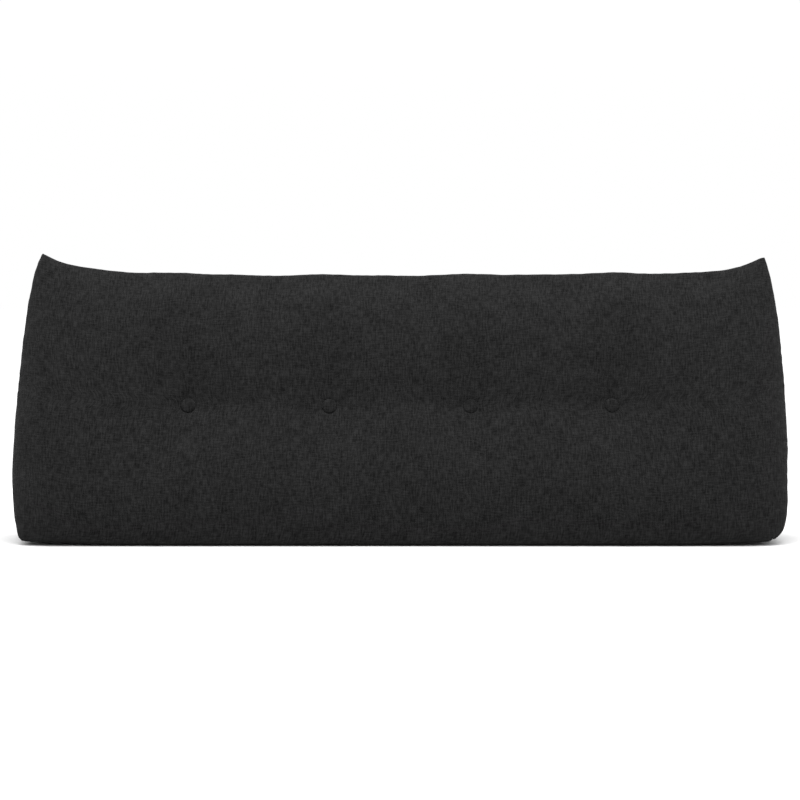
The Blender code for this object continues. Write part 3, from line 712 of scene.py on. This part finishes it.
class Nodes:
    """Builds the nodes of one material or world."""

    def __init__(self, owner):
        owner.use_nodes = True
        self.owner = owner
        self.tree = owner.node_tree

    def node(self, kind, inputs=None, **settings):
        made = self.tree.nodes.new(kind)
        for key, value in settings.items():
            setattr(made, key, value)
        self.fill(made, inputs or {})
        return made

    def fill(self, node, inputs):
        """Each socket takes a link from another, or a plain value."""
        for key, value in inputs.items():
            if isinstance(value, bpy.types.NodeSocket):
                self.tree.links.new(value, node.inputs[key])
            else:
                node.inputs[key].default_value = value

    def math(self, operation, *values):
        return self.node("ShaderNodeMath", dict(enumerate(values)), operation=operation).outputs[0]

    def weighted(self, *parts):
        """The sum of values, each times its weight."""
        total = self.math("MULTIPLY", *parts[0])
        for value, weight in parts[1:]:
            total = self.math("ADD", total, self.math("MULTIPLY", value, weight))
        return total

    def wave(self, value, pitch):
        return self.math("SINE", self.math("MULTIPLY", value, pi / pitch))

    def parts(self, vector):
        return self.node("ShaderNodeSeparateXYZ", {0: vector}).outputs

    def noise(self, vector, scale, detail=2.0, rough=0.5):
        inputs = {"Vector": vector, "Scale": scale, "Detail": detail, "Roughness": rough}
        return self.node("ShaderNodeTexNoise", inputs).outputs["Fac"]

    def stretched(self, vector, scales, detail, rough=0.5):
        """A noise with its own scale along each axis."""
        made = self.node("ShaderNodeVectorMath", {0: vector, 1: scales}, operation="MULTIPLY")
        return self.noise(made.outputs[0], 1.0, detail, rough)

    def span(self, value, low, high, to_low=0.0, to_high=1.0, interpolation="LINEAR"):
        inputs = {"Value": value, "From Min": low, "From Max": high, "To Min": to_low, "To Max": to_high}
        return self.node("ShaderNodeMapRange", inputs, interpolation_type=interpolation).outputs["Result"]

    def place(self):
        return self.node("ShaderNodeTexCoord").outputs["Object"]


def finished(n, share, dark, light, roughness, height, depth, strength=1.0, **plain):
    """The material: two tones by share, its roughness, its relief, and the shader's plain values."""
    tones = {"Factor": share, "A": (*dark, 1.0), "B": (*light, 1.0)}
    relief = {"Distance": depth, "Strength": strength, "Height": height}
    shader = n.tree.nodes["Principled BSDF"]
    n.fill(shader, {
        "Base Color": n.node("ShaderNodeMix", tones, data_type="RGBA").outputs["Result"],
        "Roughness": roughness,
        "Normal": n.node("ShaderNodeBump", relief).outputs["Normal"],
    })  # fmt: skip
    names = {"sheen": "Sheen Weight", "specular": "Specular IOR Level", "metallic": "Metallic"}
    n.fill(shader, {names[key]: value for key, value in plain.items()})
    return n.owner


def new_nodes(name):
    return Nodes(bpy.data.materials.new(name))


YARN = 0.00085  # pitch of the weave
SLUB_TALL = 0.016  # length of the slubs up the face, and across it
SLUB_FLAT = 0.014
SLUB_WIDE = 0.0026


def linen():
    """Charcoal melange linen: an even weave crossed by slubs of lighter and darker yarn."""
    n = new_nodes("charcoal_linen")
    place = n.node("ShaderNodeUVMap", uv_map="weave").outputs["UV"]
    across, up, _ = n.parts(place)
    across = n.math("ADD", across, n.span(n.noise(place, 170.0), 0.3, 0.7, -YARN, YARN))
    up = n.math("ADD", up, n.span(n.noise(place, 160.0), 0.3, 0.7, -YARN, YARN))
    warp, weft = n.wave(across, YARN), n.wave(up, YARN)
    warp_top = n.math("GREATER_THAN", n.math("MULTIPLY", warp, weft), 0.0)
    weft_top = n.math("SUBTRACT", 1.0, warp_top)
    yarns = n.weighted((n.math("ABSOLUTE", warp), warp_top), (n.math("ABSOLUTE", weft), weft_top))
    flat = n.stretched(place, (1.0 / SLUB_FLAT, 1.0 / SLUB_WIDE, 1.0), 2.0)
    tall = n.stretched(place, (1.0 / SLUB_WIDE, 1.0 / SLUB_TALL, 0.0), 2.0)
    flat_fine = n.stretched(place, (190.0, 1150.0, 1.0), 1.0)
    tall_fine = n.stretched(place, (1150.0, 190.0, 1.0), 1.0)
    broad = n.span(n.noise(place, 30.0, 3.0, 0.6), 0.35, 0.65)
    slubs = n.math("ADD", n.span(flat, 0.38, 0.66, 0.0, 0.85), n.span(tall, 0.38, 0.66, 0.0, 1.15))
    fine = n.math("ADD", flat_fine, tall_fine)
    tone = n.weighted((slubs, 0.29), (fine, 0.20), (broad, 0.12), (yarns, 0.10))
    height = n.weighted((yarns, 0.55), (slubs, 0.35), (fine, 0.35))
    sheen = {"Sheen Roughness": 0.55, "Sheen Tint": (0.95, 0.95, 0.95, 1.0)}
    n.fill(n.tree.nodes["Principled BSDF"], sheen)
    dark, light = (0.0012, 0.0012, 0.0012), (0.0168, 0.0168, 0.0169)
    share, roughness = n.span(tone, 0.22, 0.98), n.span(tone, 0.2, 1.1, 0.97, 0.86)
    return finished(n, share, dark, light, roughness, height, 0.00028, 0.8, sheen=0.02, specular=0.07)


# ---- the cover ----


UPPER_BACK = (0.40, 0.0055)  # height of the panel, and the spacing of its rows
LOWER_BACK = (0.063, 0.0045)
BACK_SAMPLES = 240
HEM_SINK = (0.0005, 0.0026)  # depth and reach of the hem's roll


def back_rows(upper, shares):
    """z of each row of a back panel, from the zip's slot to the seam, as shares of its height."""
    slot = SLOT_HALF * (1.0 - smooth(np.abs(shares * SEAM_X), *SLOT_END)) + 0.0001
    foot = foot_z(shares)
    height = ridge_height(shares) - foot
    if upper:
        start = (ZIP_Z + slot - foot) / height
        return start + (1.0 - start) * fine_steps(*UPPER_BACK)[None, :]
    return (ZIP_Z - slot - foot) / height * fine_steps(*LOWER_BACK)[None, :]


def back_moves(cloth, moves, shares, rows):
    """The cloth's moves on the back, for rows that differ from column to column."""
    samples = np.linspace(0.0, 1.0, BACK_SAMPLES + 1)
    columns = carried(moves[cloth.back], shares, samples)
    at = np.clip(rows, 0.0, 1.0) * BACK_SAMPLES
    low = np.minimum(at.astype(int), BACK_SAMPLES - 1)
    part = (at - low)[..., None]
    across = np.arange(len(shares))[:, None]
    return columns[across, low] * (1.0 - part) + columns[across, low + 1] * part


def hem_sink(grid, upper):
    """Roll the hem along the zip's slot down a little towards the tape."""
    edge = grid[:, :1] if upper else grid[:, -1:]
    distance = np.linalg.norm(grid - edge, axis=2)
    in_slot = 1.0 - smooth(np.abs(grid[..., 0]), *SLOT_END)
    depth, reach = HEM_SINK
    grid[..., 1] -= depth * (1.0 - edge_rise(distance, reach)) * in_slot
    return grid


def build_cover():
    """The six panels, keyed by the CAD node that each stands for, and the front's grid."""
    cloth = ClothGrid()
    moves = settle_cloth(cloth)
    shares = FINE_SHARES[:, None]
    front = front_surface(shares, FRONT_ROWS[None, :]) + carried(moves[cloth.front], FINE_SHARES, FRONT_ROWS)
    side_rows = back_surface(shares[[0, -1]], FRONT_ROWS[None, :])
    side_rows += carried(moves[cloth.back], FINE_SHARES[[0, -1]], FRONT_ROWS)
    base = base_surface(shares, BASE_FINE_ROWS[None, :])
    base += carried(moves[cloth.base], FINE_SHARES, BASE_FINE_ROWS)
    for grid in (front, side_rows, base):
        grid[..., 2] = np.maximum(grid[..., 2], 0.0)
    base[:, 0] = front[:, 0]
    halves = {}
    for upper in (True, False):
        rows = back_rows(upper, shares)
        grid = back_surface(shares, rows) + back_moves(cloth, moves, FINE_SHARES, rows)
        halves[upper] = hem_sink(grid, upper)
    halves[True][:, -1] = front[:, -1]
    halves[False][:, 0] = base[:, -1]
    neighbours = (front, side_rows, base)
    seams = build_seams(*neighbours)
    mat = linen()
    panels = {  # with weave origins that are apart, so that no two show the same slubs
        "front_panel": grid_panel("cover_front", front, seams, mat, (0.0, 0.0)),
        "back_panel_upper": grid_panel("cover_back_upper", halves[True], seams, mat, (0.0, 1.3)),
        "back_panel_lower": grid_panel("cover_back_lower", halves[False], seams, mat, (0.0, 2.1)),
        "base_panel": grid_panel("cover_base", base, seams, mat, (0.0, 3.2)),
    }
    for end, label in ((-1, "left"), (1, "right")):
        name = f"cover_side_{label}"
        panels[f"side_panel_{label}"] = side_panel(name, end, cloth, moves, neighbours, seams, mat)
    return panels, front


# ---- filling ----

BATTING = 0.0070
LAYER_GAP = 0.0013
FOAM_FLOOR = 0.0045
FOAM_BACK_IN = 0.0045  # the foam's back, in from the flat of the cover's back
LAYER_STEP = 2  # fine rows and columns for each one of a layer
BATTING_MARGIN = 0.006  # in from the front's seams
FOAM_MARGIN = 0.014
FOAM_GROOVE = (0.0035, 0.006, 0.008)  # how much deeper and wider its groove is than the zip's
FOAM_THIN = 0.004  # the foam is at least this thick
TWINE_HOLE_R = 0.0034
POCKET_R = 0.0125
ANCHOR_CLEAR = 0.0004
CHANNEL = (-0.04, 0.01)  # where a channel through the batting starts and ends, along its button's axis


def grid_normals(grid):
    """Unit normals of a grid of points, away from the inside of the cushion."""
    across = np.gradient(grid, axis=0)
    up = np.gradient(grid, axis=1)
    normals = np.cross(across, up)
    normals /= np.maximum(np.linalg.norm(normals, axis=2, keepdims=True), 1e-12)
    out = np.sum(normals * (grid - MIDDLE), axis=2).sum() > 0.0
    return normals if out else -normals


def under_front(front, depth, margin):
    """A coarser grid this deep under the front, a margin in from its seams."""
    shares = np.abs(FINE_SHARES)
    keep_columns = np.nonzero(shares <= 1.0 - margin / SEAM_X)[0][::LAYER_STEP]
    edge = margin / FRONT_LENGTH
    keep_rows = np.nonzero((FRONT_ROWS > edge) & (FRONT_ROWS < 1.0 - edge))[0][::LAYER_STEP]
    sunk = front - grid_normals(front) * depth
    return sunk[np.ix_(keep_columns, keep_rows)]


def slab(name, outer, inner, mat):
    """A closed body between two grids."""
    points, faces = grid_sheet(outer, FAR_BEHIND)
    mesh = closed_sheet(name, points, inner.reshape(-1, 3), faces, mat)
    outward_faces(mesh)
    smooth_sides(mesh, SHARP_FILLING)
    return new_object(name, mesh)


def batting_layer(front, mat):
    near = COVER + LAYER_GAP
    outer, inner = (under_front(front, depth, BATTING_MARGIN) for depth in (near, near + BATTING))
    return slab("batting", outer, inner, mat)


def foam_wedge(front, mat):
    """The foam: the stuffed front's shape under the batting, cut flat on its other sides."""
    face = under_front(front, COVER + 2 * LAYER_GAP + BATTING, FOAM_MARGIN)
    face[..., 2] = np.maximum(face[..., 2], FOAM_FLOOR)
    rear = face.copy()
    depth, floor, mouth = np.add(GROOVE, FOAM_GROOVE)
    groove = depth * (1.0 - smooth(np.abs(rear[..., 2] - ZIP_Z), floor, mouth))
    rear[..., 1] = BACK_Y - FOAM_BACK_IN - groove * (1.0 - smooth(np.abs(rear[..., 0]), *GROOVE_END))
    rear[..., 1] = np.maximum(rear[..., 1], face[..., 1] + FOAM_THIN)
    return slab("foam_wedge", face, rear, mat)


def in_frame(place, name):
    """A CAD node's points in a frame's own coordinates."""
    return np.array([place.inverted() @ Vector(p) for p in node_points(name)])


def button_frame(number):
    """Matrix whose z runs out along a covered button's axis, from its underside."""
    points = node_points(f"button_{number}_cover")
    middle = points.mean(0)
    axis = np.linalg.eigh(np.cov((points - middle).T))[1][:, 0]
    axis *= -np.sign(axis[1])
    low = ((points - middle) @ axis).min()
    z = Vector(axis)
    x = Vector((1.0, 0.0, 0.0))
    made = Matrix((x, z.cross(x).normalized(), z)).transposed().to_4x4()
    made.translation = Vector(middle + axis * low)
    return made


def revolved(profile, segments, gathered=lambda height, turn: (0.0, 0.0)):
    """Points and faces of a (radius, height) profile about z. A radius of 0 makes a single point."""
    points = []
    rings = []
    for radius, height in profile:
        ring = []
        for k in range(segments if radius else 1):
            turn = 2 * pi * k / segments
            out, up = gathered(height, turn)
            ring.append(len(points))
            points.append(((radius + out) * cos(turn), (radius + out) * sin(turn), height + up))
        rings.append(ring)
    faces = []
    for low, high in zip(rings, rings[1:]):
        for k in range(segments):
            spots = ((low, k), (low, k + 1), (high, k + 1), (high, k))
            faces.append(tuple(dict.fromkeys(ring[at % len(ring)] for ring, at in spots)))
    return points, faces


def turned(profile, place, segments):
    """A solid of revolution about a frame's z, to cut with."""
    points, faces = revolved(profile, segments)
    mesh = new_mesh("channel", [tuple(place @ Vector(p)) for p in points], faces)
    outward_faces(mesh)
    mesh.shade_smooth()
    return new_object("channel", mesh)


def cut(body, tool):
    """Apply a Boolean cut and drop the tool."""
    modifier = body.modifiers.new("cut", "BOOLEAN")
    modifier.operation = "DIFFERENCE"
    modifier.solver = "EXACT"
    modifier.object = tool
    bpy.context.view_layer.update()
    evaluated = body.evaluated_get(bpy.context.evaluated_depsgraph_get())
    mesh = bpy.data.meshes.new_from_object(evaluated)
    body.modifiers.clear()
    body.data = mesh
    bpy.data.objects.remove(tool)


def twine_channels(batting, foam):
    """Holes for the twine through both layers, and pockets for the anchors in the foam's back."""
    for number in BUTTONS:
        place = button_frame(number)
        seat = in_frame(place, f"button_{number}_anchor")[:, 2].max() + ANCHOR_CLEAR
        start, end = CHANNEL
        channel = [(0.0, start), (TWINE_HOLE_R, start), (TWINE_HOLE_R, end), (0.0, end)]
        cut(batting, turned(channel, place, 16))
        pocket = [(0.0, seat - 0.05), (POCKET_R, seat - 0.05), (POCKET_R, seat)]
        pocket += [(TWINE_HOLE_R, seat + 0.001), *channel[2:]]
        cut(foam, turned(pocket, place, 24))


# ---- buttons ----

BUTTON_SKIN = 0.0007
GATHERS = 16
GATHER_DEPTH = (0.00028, 0.0002)
RIM_SHARE = 0.34  # height of the rim as a share of the button's
TUCK = ((0.70, 0.0009), (0.80, 0.0003), (0.90, 0.0004), (0.965, 0.0011))  # shares of the radius, and heights


def covered_button(number, mat):
    """The cloth cap of a covered button: a dome tucked under its rim in small gathers."""
    place = button_frame(number)
    x, y, z = in_frame(place, f"button_{number}_cover").T
    radius = np.sqrt(x**2 + y**2).max()
    top = z.max()
    rim = RIM_SHARE * top
    profile = [(share * radius, height) for share, height in TUCK]
    for turn in 0.5 * pi * np.arange(1, 14) / 14:
        profile.append((radius * cos(turn) ** 0.9, rim + (top - rim) * sin(turn)))
    profile.append((0.0, top))

    def gathered(height, turn):
        under = max(0.0, 1.0 - height / rim)
        out, up = GATHER_DEPTH
        return out * under * cos(GATHERS * turn + number), up * under * sin(GATHERS * turn)

    points, faces = revolved(profile, 96, gathered)
    world = np.array([place @ Vector(p) for p in points])
    weave = np.array(points)[:, :2] + np.array((0.31 * number, 4.0))
    return cloth_shell(f"button_cap_{number}", world, faces, weave, BUTTON_SKIN, mat)


# ---- zip ----

COIL_PITCH = 0.0013
COIL_WIRE = 0.00027
COIL_STEPS = 10
HEADS_APART = 0.00053  # from the zip's middle to each coil's heads, so that the slider's post has room
FLAP_CLEAR = 0.0002  # between the slider and the flap of each tape that closes the zip behind it
FLAP_THICK = 0.0002
FLAP_APART = 0.00004
STITCH_PITCH = 0.0040
STITCH_LENGTH = 0.0031
THREAD_R = 0.00028
HEM_STITCH_OFF = 0.0062  # from the slot's edge to the row of stitches
STITCH_SHAPE = ((-0.5, -0.0006), (-0.44, 0.00022), (-0.2, 0.00034))  # shares of its length, and heights
STITCH_LEAN = 0.00012
STITCH_DRIFT = 0.0001


def tubes(name, routes, radius, sides, mat):
    """Round tubes along open routes, in one mesh, with closed ends. Each route is an array of points."""
    turns = 2 * pi * np.arange(sides) / sides
    points = []
    faces = []
    start = 0
    for route in routes:
        way = np.gradient(route, axis=0)
        way /= np.linalg.norm(way, axis=1, keepdims=True)
        guide = np.eye(3)[np.abs(way).mean(0).argmin()]
        first = np.cross(way, guide)
        first /= np.linalg.norm(first, axis=1, keepdims=True)
        second = np.cross(way, first)
        around = first[:, None] * np.cos(turns)[:, None] + second[:, None] * np.sin(turns)[:, None]
        points.append((route[:, None] + radius * around).reshape(-1, 3))
        ids = start + np.arange(len(route) * sides).reshape(-1, sides)
        start += ids.size
        a, b = ids[:-1], ids[1:]
        quads = np.stack([a, np.roll(a, -1, 1), np.roll(b, -1, 1), b], axis=-1).reshape(-1, 4)
        faces += [tuple(q) for q in quads.tolist()]
        faces += [tuple(reversed(ids[0].tolist())), tuple(ids[-1].tolist())]
    mesh = new_mesh(name, np.concatenate(points).tolist(), faces, mat)
    mesh.shade_smooth()
    return new_object(name, mesh)


def rounded(value, power=0.72):
    return np.sign(value) * np.abs(value) ** power


def zip_coil(label, side, mat):
    """One half of the chain: a nylon wire wound into flattened turns, its heads at the middle."""
    low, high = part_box(f"zip_coil_{label}")
    turns = int((high.x - low.x - 2 * COIL_WIRE) / COIL_PITCH)
    at = np.arange(turns * COIL_STEPS + 1) / COIL_STEPS
    x = low.x + COIL_WIRE + at * COIL_PITCH
    heads = HEADS_APART + COIL_WIRE
    tails = max(abs(high.z - ZIP_Z), abs(low.z - ZIP_Z)) - COIL_WIRE
    middle = 0.5 * (heads + tails)
    phase = 0.0 if side > 0 else pi
    z = ZIP_Z + side * (middle + (tails - middle) * rounded(np.cos(2 * pi * at + phase)))
    y = TAPE_Y + (0.5 * (high.y - low.y) - COIL_WIRE) * rounded(np.sin(2 * pi * at + phase))
    return tubes(f"coil_{label}", [np.stack([x, y, z], axis=1)], COIL_WIRE, 5, mat)


def zip_tape(label, side, mat):
    """One tape, with the thin flap behind the slider's way that meets the other tape's in the middle."""
    edge, outer = sorted(abs(corner.z - ZIP_Z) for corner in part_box(f"zip_tape_{label}"))
    wall = 0.5 * (SLIDER_HIGH.z - SLIDER_LOW.z) + FLAP_CLEAR
    flap = SLIDER_LOW.y - FLAP_CLEAR
    back = flap - FLAP_THICK
    section = (
        (outer, TAPE_HIGH.y), (edge, TAPE_HIGH.y), (edge, TAPE_LOW.y), (wall, TAPE_LOW.y), (wall, flap),
        (FLAP_APART, flap), (FLAP_APART, back), (wall + FLAP_THICK, back), (wall + FLAP_THICK, TAPE_LOW.y),
        (outer, TAPE_LOW.y),
    )  # fmt: skip
    points = [(x, y, ZIP_Z + side * z) for x in (TAPE_LOW.x, TAPE_HIGH.x) for z, y in section]
    count = len(section)
    faces = [tuple(range(count)), tuple(range(count, 2 * count))]
    faces += [(k, (k + 1) % count, (k + 1) % count + count, k + count) for k in range(count)]
    mesh = new_mesh(f"tape_{label}", points, faces, mat)
    outward_faces(mesh)
    return new_object(f"tape_{label}", mesh)


def hem_stitches(label, side, mat):
    """A row of topstitching through the hem and the tape behind it."""
    z = ZIP_Z + side * (SLOT_HALF + HEM_STITCH_OFF)
    surface = BACK_Y - GROOVE[0]
    end = TAPE_HIGH.x - 0.010
    rng = np.random.default_rng(11 + side)
    shares, heights = np.array(STITCH_SHAPE).T
    along = STITCH_LENGTH * np.concatenate([shares, -shares[::-1]])
    y = surface + np.concatenate([heights, heights[::-1]])
    routes = []
    for middle in np.arange(-end, end, STITCH_PITCH):
        lean = rng.uniform(-STITCH_LEAN, STITCH_LEAN)
        drift = rng.uniform(-STITCH_DRIFT, STITCH_DRIFT)
        routes.append(stack(middle + along, y, z + drift + np.linspace(-lean, lean, len(y))))
    return tubes(f"hem_stitching_{label}", routes, THREAD_R, 6, mat)


def eased_copy(node, name, width, mat):
    """A copy of a CAD piece with small rounded edges."""
    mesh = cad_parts[node].data.copy()
    work = bmesh.new()
    work.from_mesh(mesh)
    bmesh.ops.remove_doubles(work, verts=work.verts, dist=2e-6)
    bmesh.ops.dissolve_limit(work, angle_limit=radians(1.0), verts=work.verts, edges=work.edges)
    edges = [e for e in work.edges if e.is_manifold and e.calc_face_angle() > radians(28.0)]
    rounding = {"offset": width, "segments": 2, "profile": 0.6, "affect": "EDGES", "clamp_overlap": True}
    bmesh.ops.bevel(work, geom=edges, **rounding)
    work.to_mesh(mesh)
    work.free()
    mesh.name = name
    mesh.materials.clear()
    mesh.materials.append(mat)
    smooth_sides(mesh, SHARP_METAL)
    return new_object(name, mesh)


# ---- other materials ----


def tape_weave():
    """Black polyester tape: a fine herringbone."""
    n = new_nodes("zip_tape")
    place = n.place()
    along, _, across = n.parts(place)
    ribs = n.math("ABSOLUTE", n.wave(across, 0.0006))
    slant = n.math("ADD", along, n.math("MULTIPLY", across, 0.8))
    height = n.weighted((ribs, 0.6), (n.math("ABSOLUTE", n.wave(slant, 0.0005)), 0.4))
    tone = n.weighted((height, 0.7), (n.noise(place, 350.0, 3.0), 0.3))
    dark, light = (0.004, 0.004, 0.0045), (0.020, 0.020, 0.021)
    roughness = n.span(tone, 0.0, 1.0, 0.9, 0.75)
    return finished(n, tone, dark, light, roughness, height, 0.00012, specular=0.2, sheen=0.08)


def twisted(name, scale, distortion, fibre_scale, detail, dark, light, depth, **plain):
    """Thread or twine: strands that run slantwise, over a noise of fibres."""
    n = new_nodes(name)
    place = n.place()
    inputs = {"Vector": place, "Scale": scale, "Distortion": distortion}
    strands = n.node("ShaderNodeTexWave", inputs, bands_direction="DIAGONAL").outputs["Fac"]
    fibres = n.noise(place, fibre_scale, detail)
    roughness = n.span(fibres, 0.3, 0.7, 0.55, 0.75)
    return finished(n, fibres, dark, light, roughness, strands, depth, **plain)


def thread():
    dark, light = (0.006, 0.006, 0.0065), (0.024, 0.024, 0.025)
    return twisted("sewing_thread", 900.0, 0.0, 2600.0, 2.0, dark, light, 0.0001, specular=0.3, sheen=0.1)


def twine():
    dark, light = (0.52, 0.48, 0.39), (0.70, 0.66, 0.56)
    return twisted("waxed_twine", 420.0, 1.5, 1800.0, 3.0, dark, light, 0.0003, specular=0.35)


def nylon():
    n = new_nodes("zip_nylon")
    place = n.place()
    cloud = n.noise(place, 900.0, 3.0)
    dark, light = (0.007, 0.007, 0.0075), (0.014, 0.014, 0.015)
    roughness = n.span(cloud, 0.3, 0.7, 0.30, 0.45)
    return finished(n, cloud, dark, light, roughness, n.noise(place, 7000.0), 0.00002, specular=0.45)


def dark_zinc():
    """Zinc alloy with a dark plated finish that is worn to metal along its edges."""
    n = new_nodes("plated_zinc")
    place = n.place()
    grain = n.noise(place, 1500.0, 4.0, 0.6)
    smudge = n.noise(place, 260.0, 3.0, 0.6)
    bevel = n.node("ShaderNodeBevel", {"Radius": 0.00025}, samples=4).outputs["Normal"]
    normal = n.node("ShaderNodeNewGeometry").outputs["Normal"]
    apart = n.node("ShaderNodeVectorMath", {0: bevel, 1: normal}, operation="DOT_PRODUCT").outputs["Value"]
    edge = n.math("MULTIPLY", n.span(apart, 0.98, 0.80), n.span(grain, 0.42, 0.58))
    dark, light = (0.045, 0.045, 0.048), (0.22, 0.215, 0.21)
    roughness = n.span(smudge, 0.3, 0.7, 0.30, 0.46)
    return finished(n, edge, dark, light, roughness, grain, 0.00003, metallic=1.0)


def tinned_steel():
    n = new_nodes("tinned_steel")
    place = n.place()
    brushed = n.stretched(place, (3000.0, 300.0, 300.0), 3.0)
    dark, light = (0.48, 0.48, 0.49), (0.60, 0.60, 0.61)
    roughness = n.span(brushed, 0.3, 0.7, 0.26, 0.44)
    return finished(n, n.noise(place, 180.0, 3.0), dark, light, roughness, brushed, 0.00002, metallic=1.0)


def moulded_plastic():
    n = new_nodes("moulded_nylon")
    place = n.place()
    grain = n.noise(place, 2400.0, 4.0, 0.6)
    dark, light = (0.70, 0.70, 0.67), (0.79, 0.79, 0.76)
    roughness = n.span(grain, 0.3, 0.7, 0.38, 0.52)
    return finished(n, n.noise(place, 160.0), dark, light, roughness, grain, 0.00004, specular=0.4)


def foam_cells():
    """Cream open-cell foam."""
    n = new_nodes("open_cell_foam")
    place = n.place()
    inputs = {"Vector": place, "Scale": 900.0}
    depth = n.node("ShaderNodeTexVoronoi", inputs, feature="F1").outputs["Distance"]
    tone = n.weighted((n.noise(place, 40.0, 3.0), 0.5), (depth, 0.5))
    dark, light = (0.68, 0.62, 0.47), (0.86, 0.82, 0.70)
    roughness = n.span(depth, 0.0, 1.0, 0.98, 0.88)
    return finished(n, tone, dark, light, roughness, depth, 0.0006, specular=0.15, sheen=0.15)


def fibre():
    """White bonded polyester fibre."""
    n = new_nodes("polyester_fibre")
    place = n.place()
    strands = n.stretched(place, (140.0, 900.0, 900.0), 4.0, 0.7)
    height = n.math("ADD", strands, n.stretched(place, (900.0, 900.0, 160.0), 4.0, 0.7))
    dark, light = (0.72, 0.72, 0.70), (0.88, 0.88, 0.87)
    share, roughness = n.span(height, 0.7, 1.3), n.span(height, 0.7, 1.3, 0.98, 0.88)
    return finished(n, share, dark, light, roughness, height, 0.0009, specular=0.2, sheen=0.3)


# ---- stage ----

CAMERA_AWAY = 3.60
CAMERA_HEIGHT = 0.47
LENS = 89.5
AIM_Z = 0.2546
FLOOR_Z = -0.0006
FLOOR_HALF = 30.0
LIGHT = ((0.0, -0.75, 2.9), (0.0, 0.0, 0.2), (3.2, 1.6), 78.0)  # place, aim, size, power


def build_camera():
    camera = new_object("camera", bpy.data.cameras.new("camera"))
    camera.data.lens = LENS
    camera.data.sensor_width = 36.0
    camera.data.clip_end = 60.0
    camera.location = (0.0, -CAMERA_AWAY, CAMERA_HEIGHT)
    aim = Vector((0.0, 0.0, AIM_Z)) - camera.location
    camera.rotation_euler = aim.to_track_quat("-Z", "Y").to_euler()
    bpy.context.scene.camera = camera


def area_light(name, place, aim, size, power):
    data = bpy.data.lights.new(name, "AREA")
    data.shape = "RECTANGLE"
    data.size, data.size_y = size
    data.energy = power
    lamp = new_object(name, data)
    lamp.location = place
    lamp.rotation_euler = (Vector(aim) - Vector(place)).to_track_quat("-Z", "Y").to_euler()


def build_stage():
    signs = ((-1, -1), (1, -1), (1, 1), (-1, 1))
    corners = [(x * FLOOR_HALF, y * FLOOR_HALF, FLOOR_Z) for x, y in signs]
    n = new_nodes("studio_floor")
    plain = {"Base Color": (0.60, 0.60, 0.60, 1.0), "Roughness": 1.0, "Specular IOR Level": 0.0}
    n.fill(n.tree.nodes["Principled BSDF"], plain)
    new_object("studio_floor", new_mesh("studio_floor", corners, [(0, 1, 2, 3)], n.owner))
    bpy.context.scene.world = sky()
    bpy.context.scene.view_settings.view_transform = "Standard"
    area_light("overhead", *LIGHT)


def sky():
    """An even white studio that is brighter overhead, as under a large soft box."""
    n = Nodes(bpy.data.worlds.new("studio"))
    up = n.parts(n.node("ShaderNodeTexCoord").outputs["Generated"])[2]
    strength = n.span(up, 0.08, 1.0, 1.0, 2.4, "SMOOTHSTEP")
    n.fill(n.tree.nodes["Background"], {"Color": (1.0, 1.0, 1.0, 1.0), "Strength": strength})
    return n.owner


def place_piece(piece, nodes=(), body="cushion"):
    """Settle what a piece rides on, and hide the CAD nodes that it stands for."""
    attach(piece, body)
    if nodes:
        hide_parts(*nodes)


def dress_node(name, mat):
    """Give a CAD node that stays its finished material."""
    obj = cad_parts[name]
    if not obj.material_slots:
        obj.data.materials.append(mat)
    for slot in obj.material_slots:
        slot.material = mat


def add_cover():
    panels, front = build_cover()
    for node, panel in panels.items():
        place_piece(panel, [node])
    return front


def add_filling(front):
    batting = batting_layer(front, fibre())
    foam = foam_wedge(front, foam_cells())
    twine_channels(batting, foam)
    place_piece(batting, ["fibre_batting"])
    place_piece(foam, ["foam_core"])


def add_buttons():
    cap_mat = bpy.data.materials["charcoal_linen"]
    steel = tinned_steel()
    inner = {"shell": steel, "back": steel, "twine": twine(), "anchor": moulded_plastic()}
    for number in BUTTONS:
        place_piece(covered_button(number, cap_mat), [f"button_{number}_cover"])
        for part, mat in inner.items():
            dress_node(f"button_{number}_{part}", mat)


def add_metal(node, name, width, mat, body="cushion"):
    place_piece(eased_copy(node, name, width, mat), [node], body)


def add_zip():
    coil, zinc, tape, sewing = nylon(), dark_zinc(), tape_weave(), thread()
    for label, side in (("upper", 1), ("lower", -1)):
        place_piece(zip_coil(label, side, coil), [f"zip_coil_{label}"])
        place_piece(hem_stitches(label, side, sewing))
        place_piece(zip_tape(label, side, tape), [f"zip_tape_{label}"])
        add_metal(f"zip_top_stop_{label}", f"top_stop_{label}", 0.0003, zinc)
    add_metal("zip_bottom_stop", "bottom_stop", 0.0004, zinc)
    add_metal("zip_slider", "slider_body", 0.00018, zinc, "slider")
    add_metal("zip_pull", "pull_tab", 0.0002, zinc, "pull")


def main():
    build_camera()
    build_stage()
    add_filling(add_cover())
    add_buttons()
    add_zip()


main()
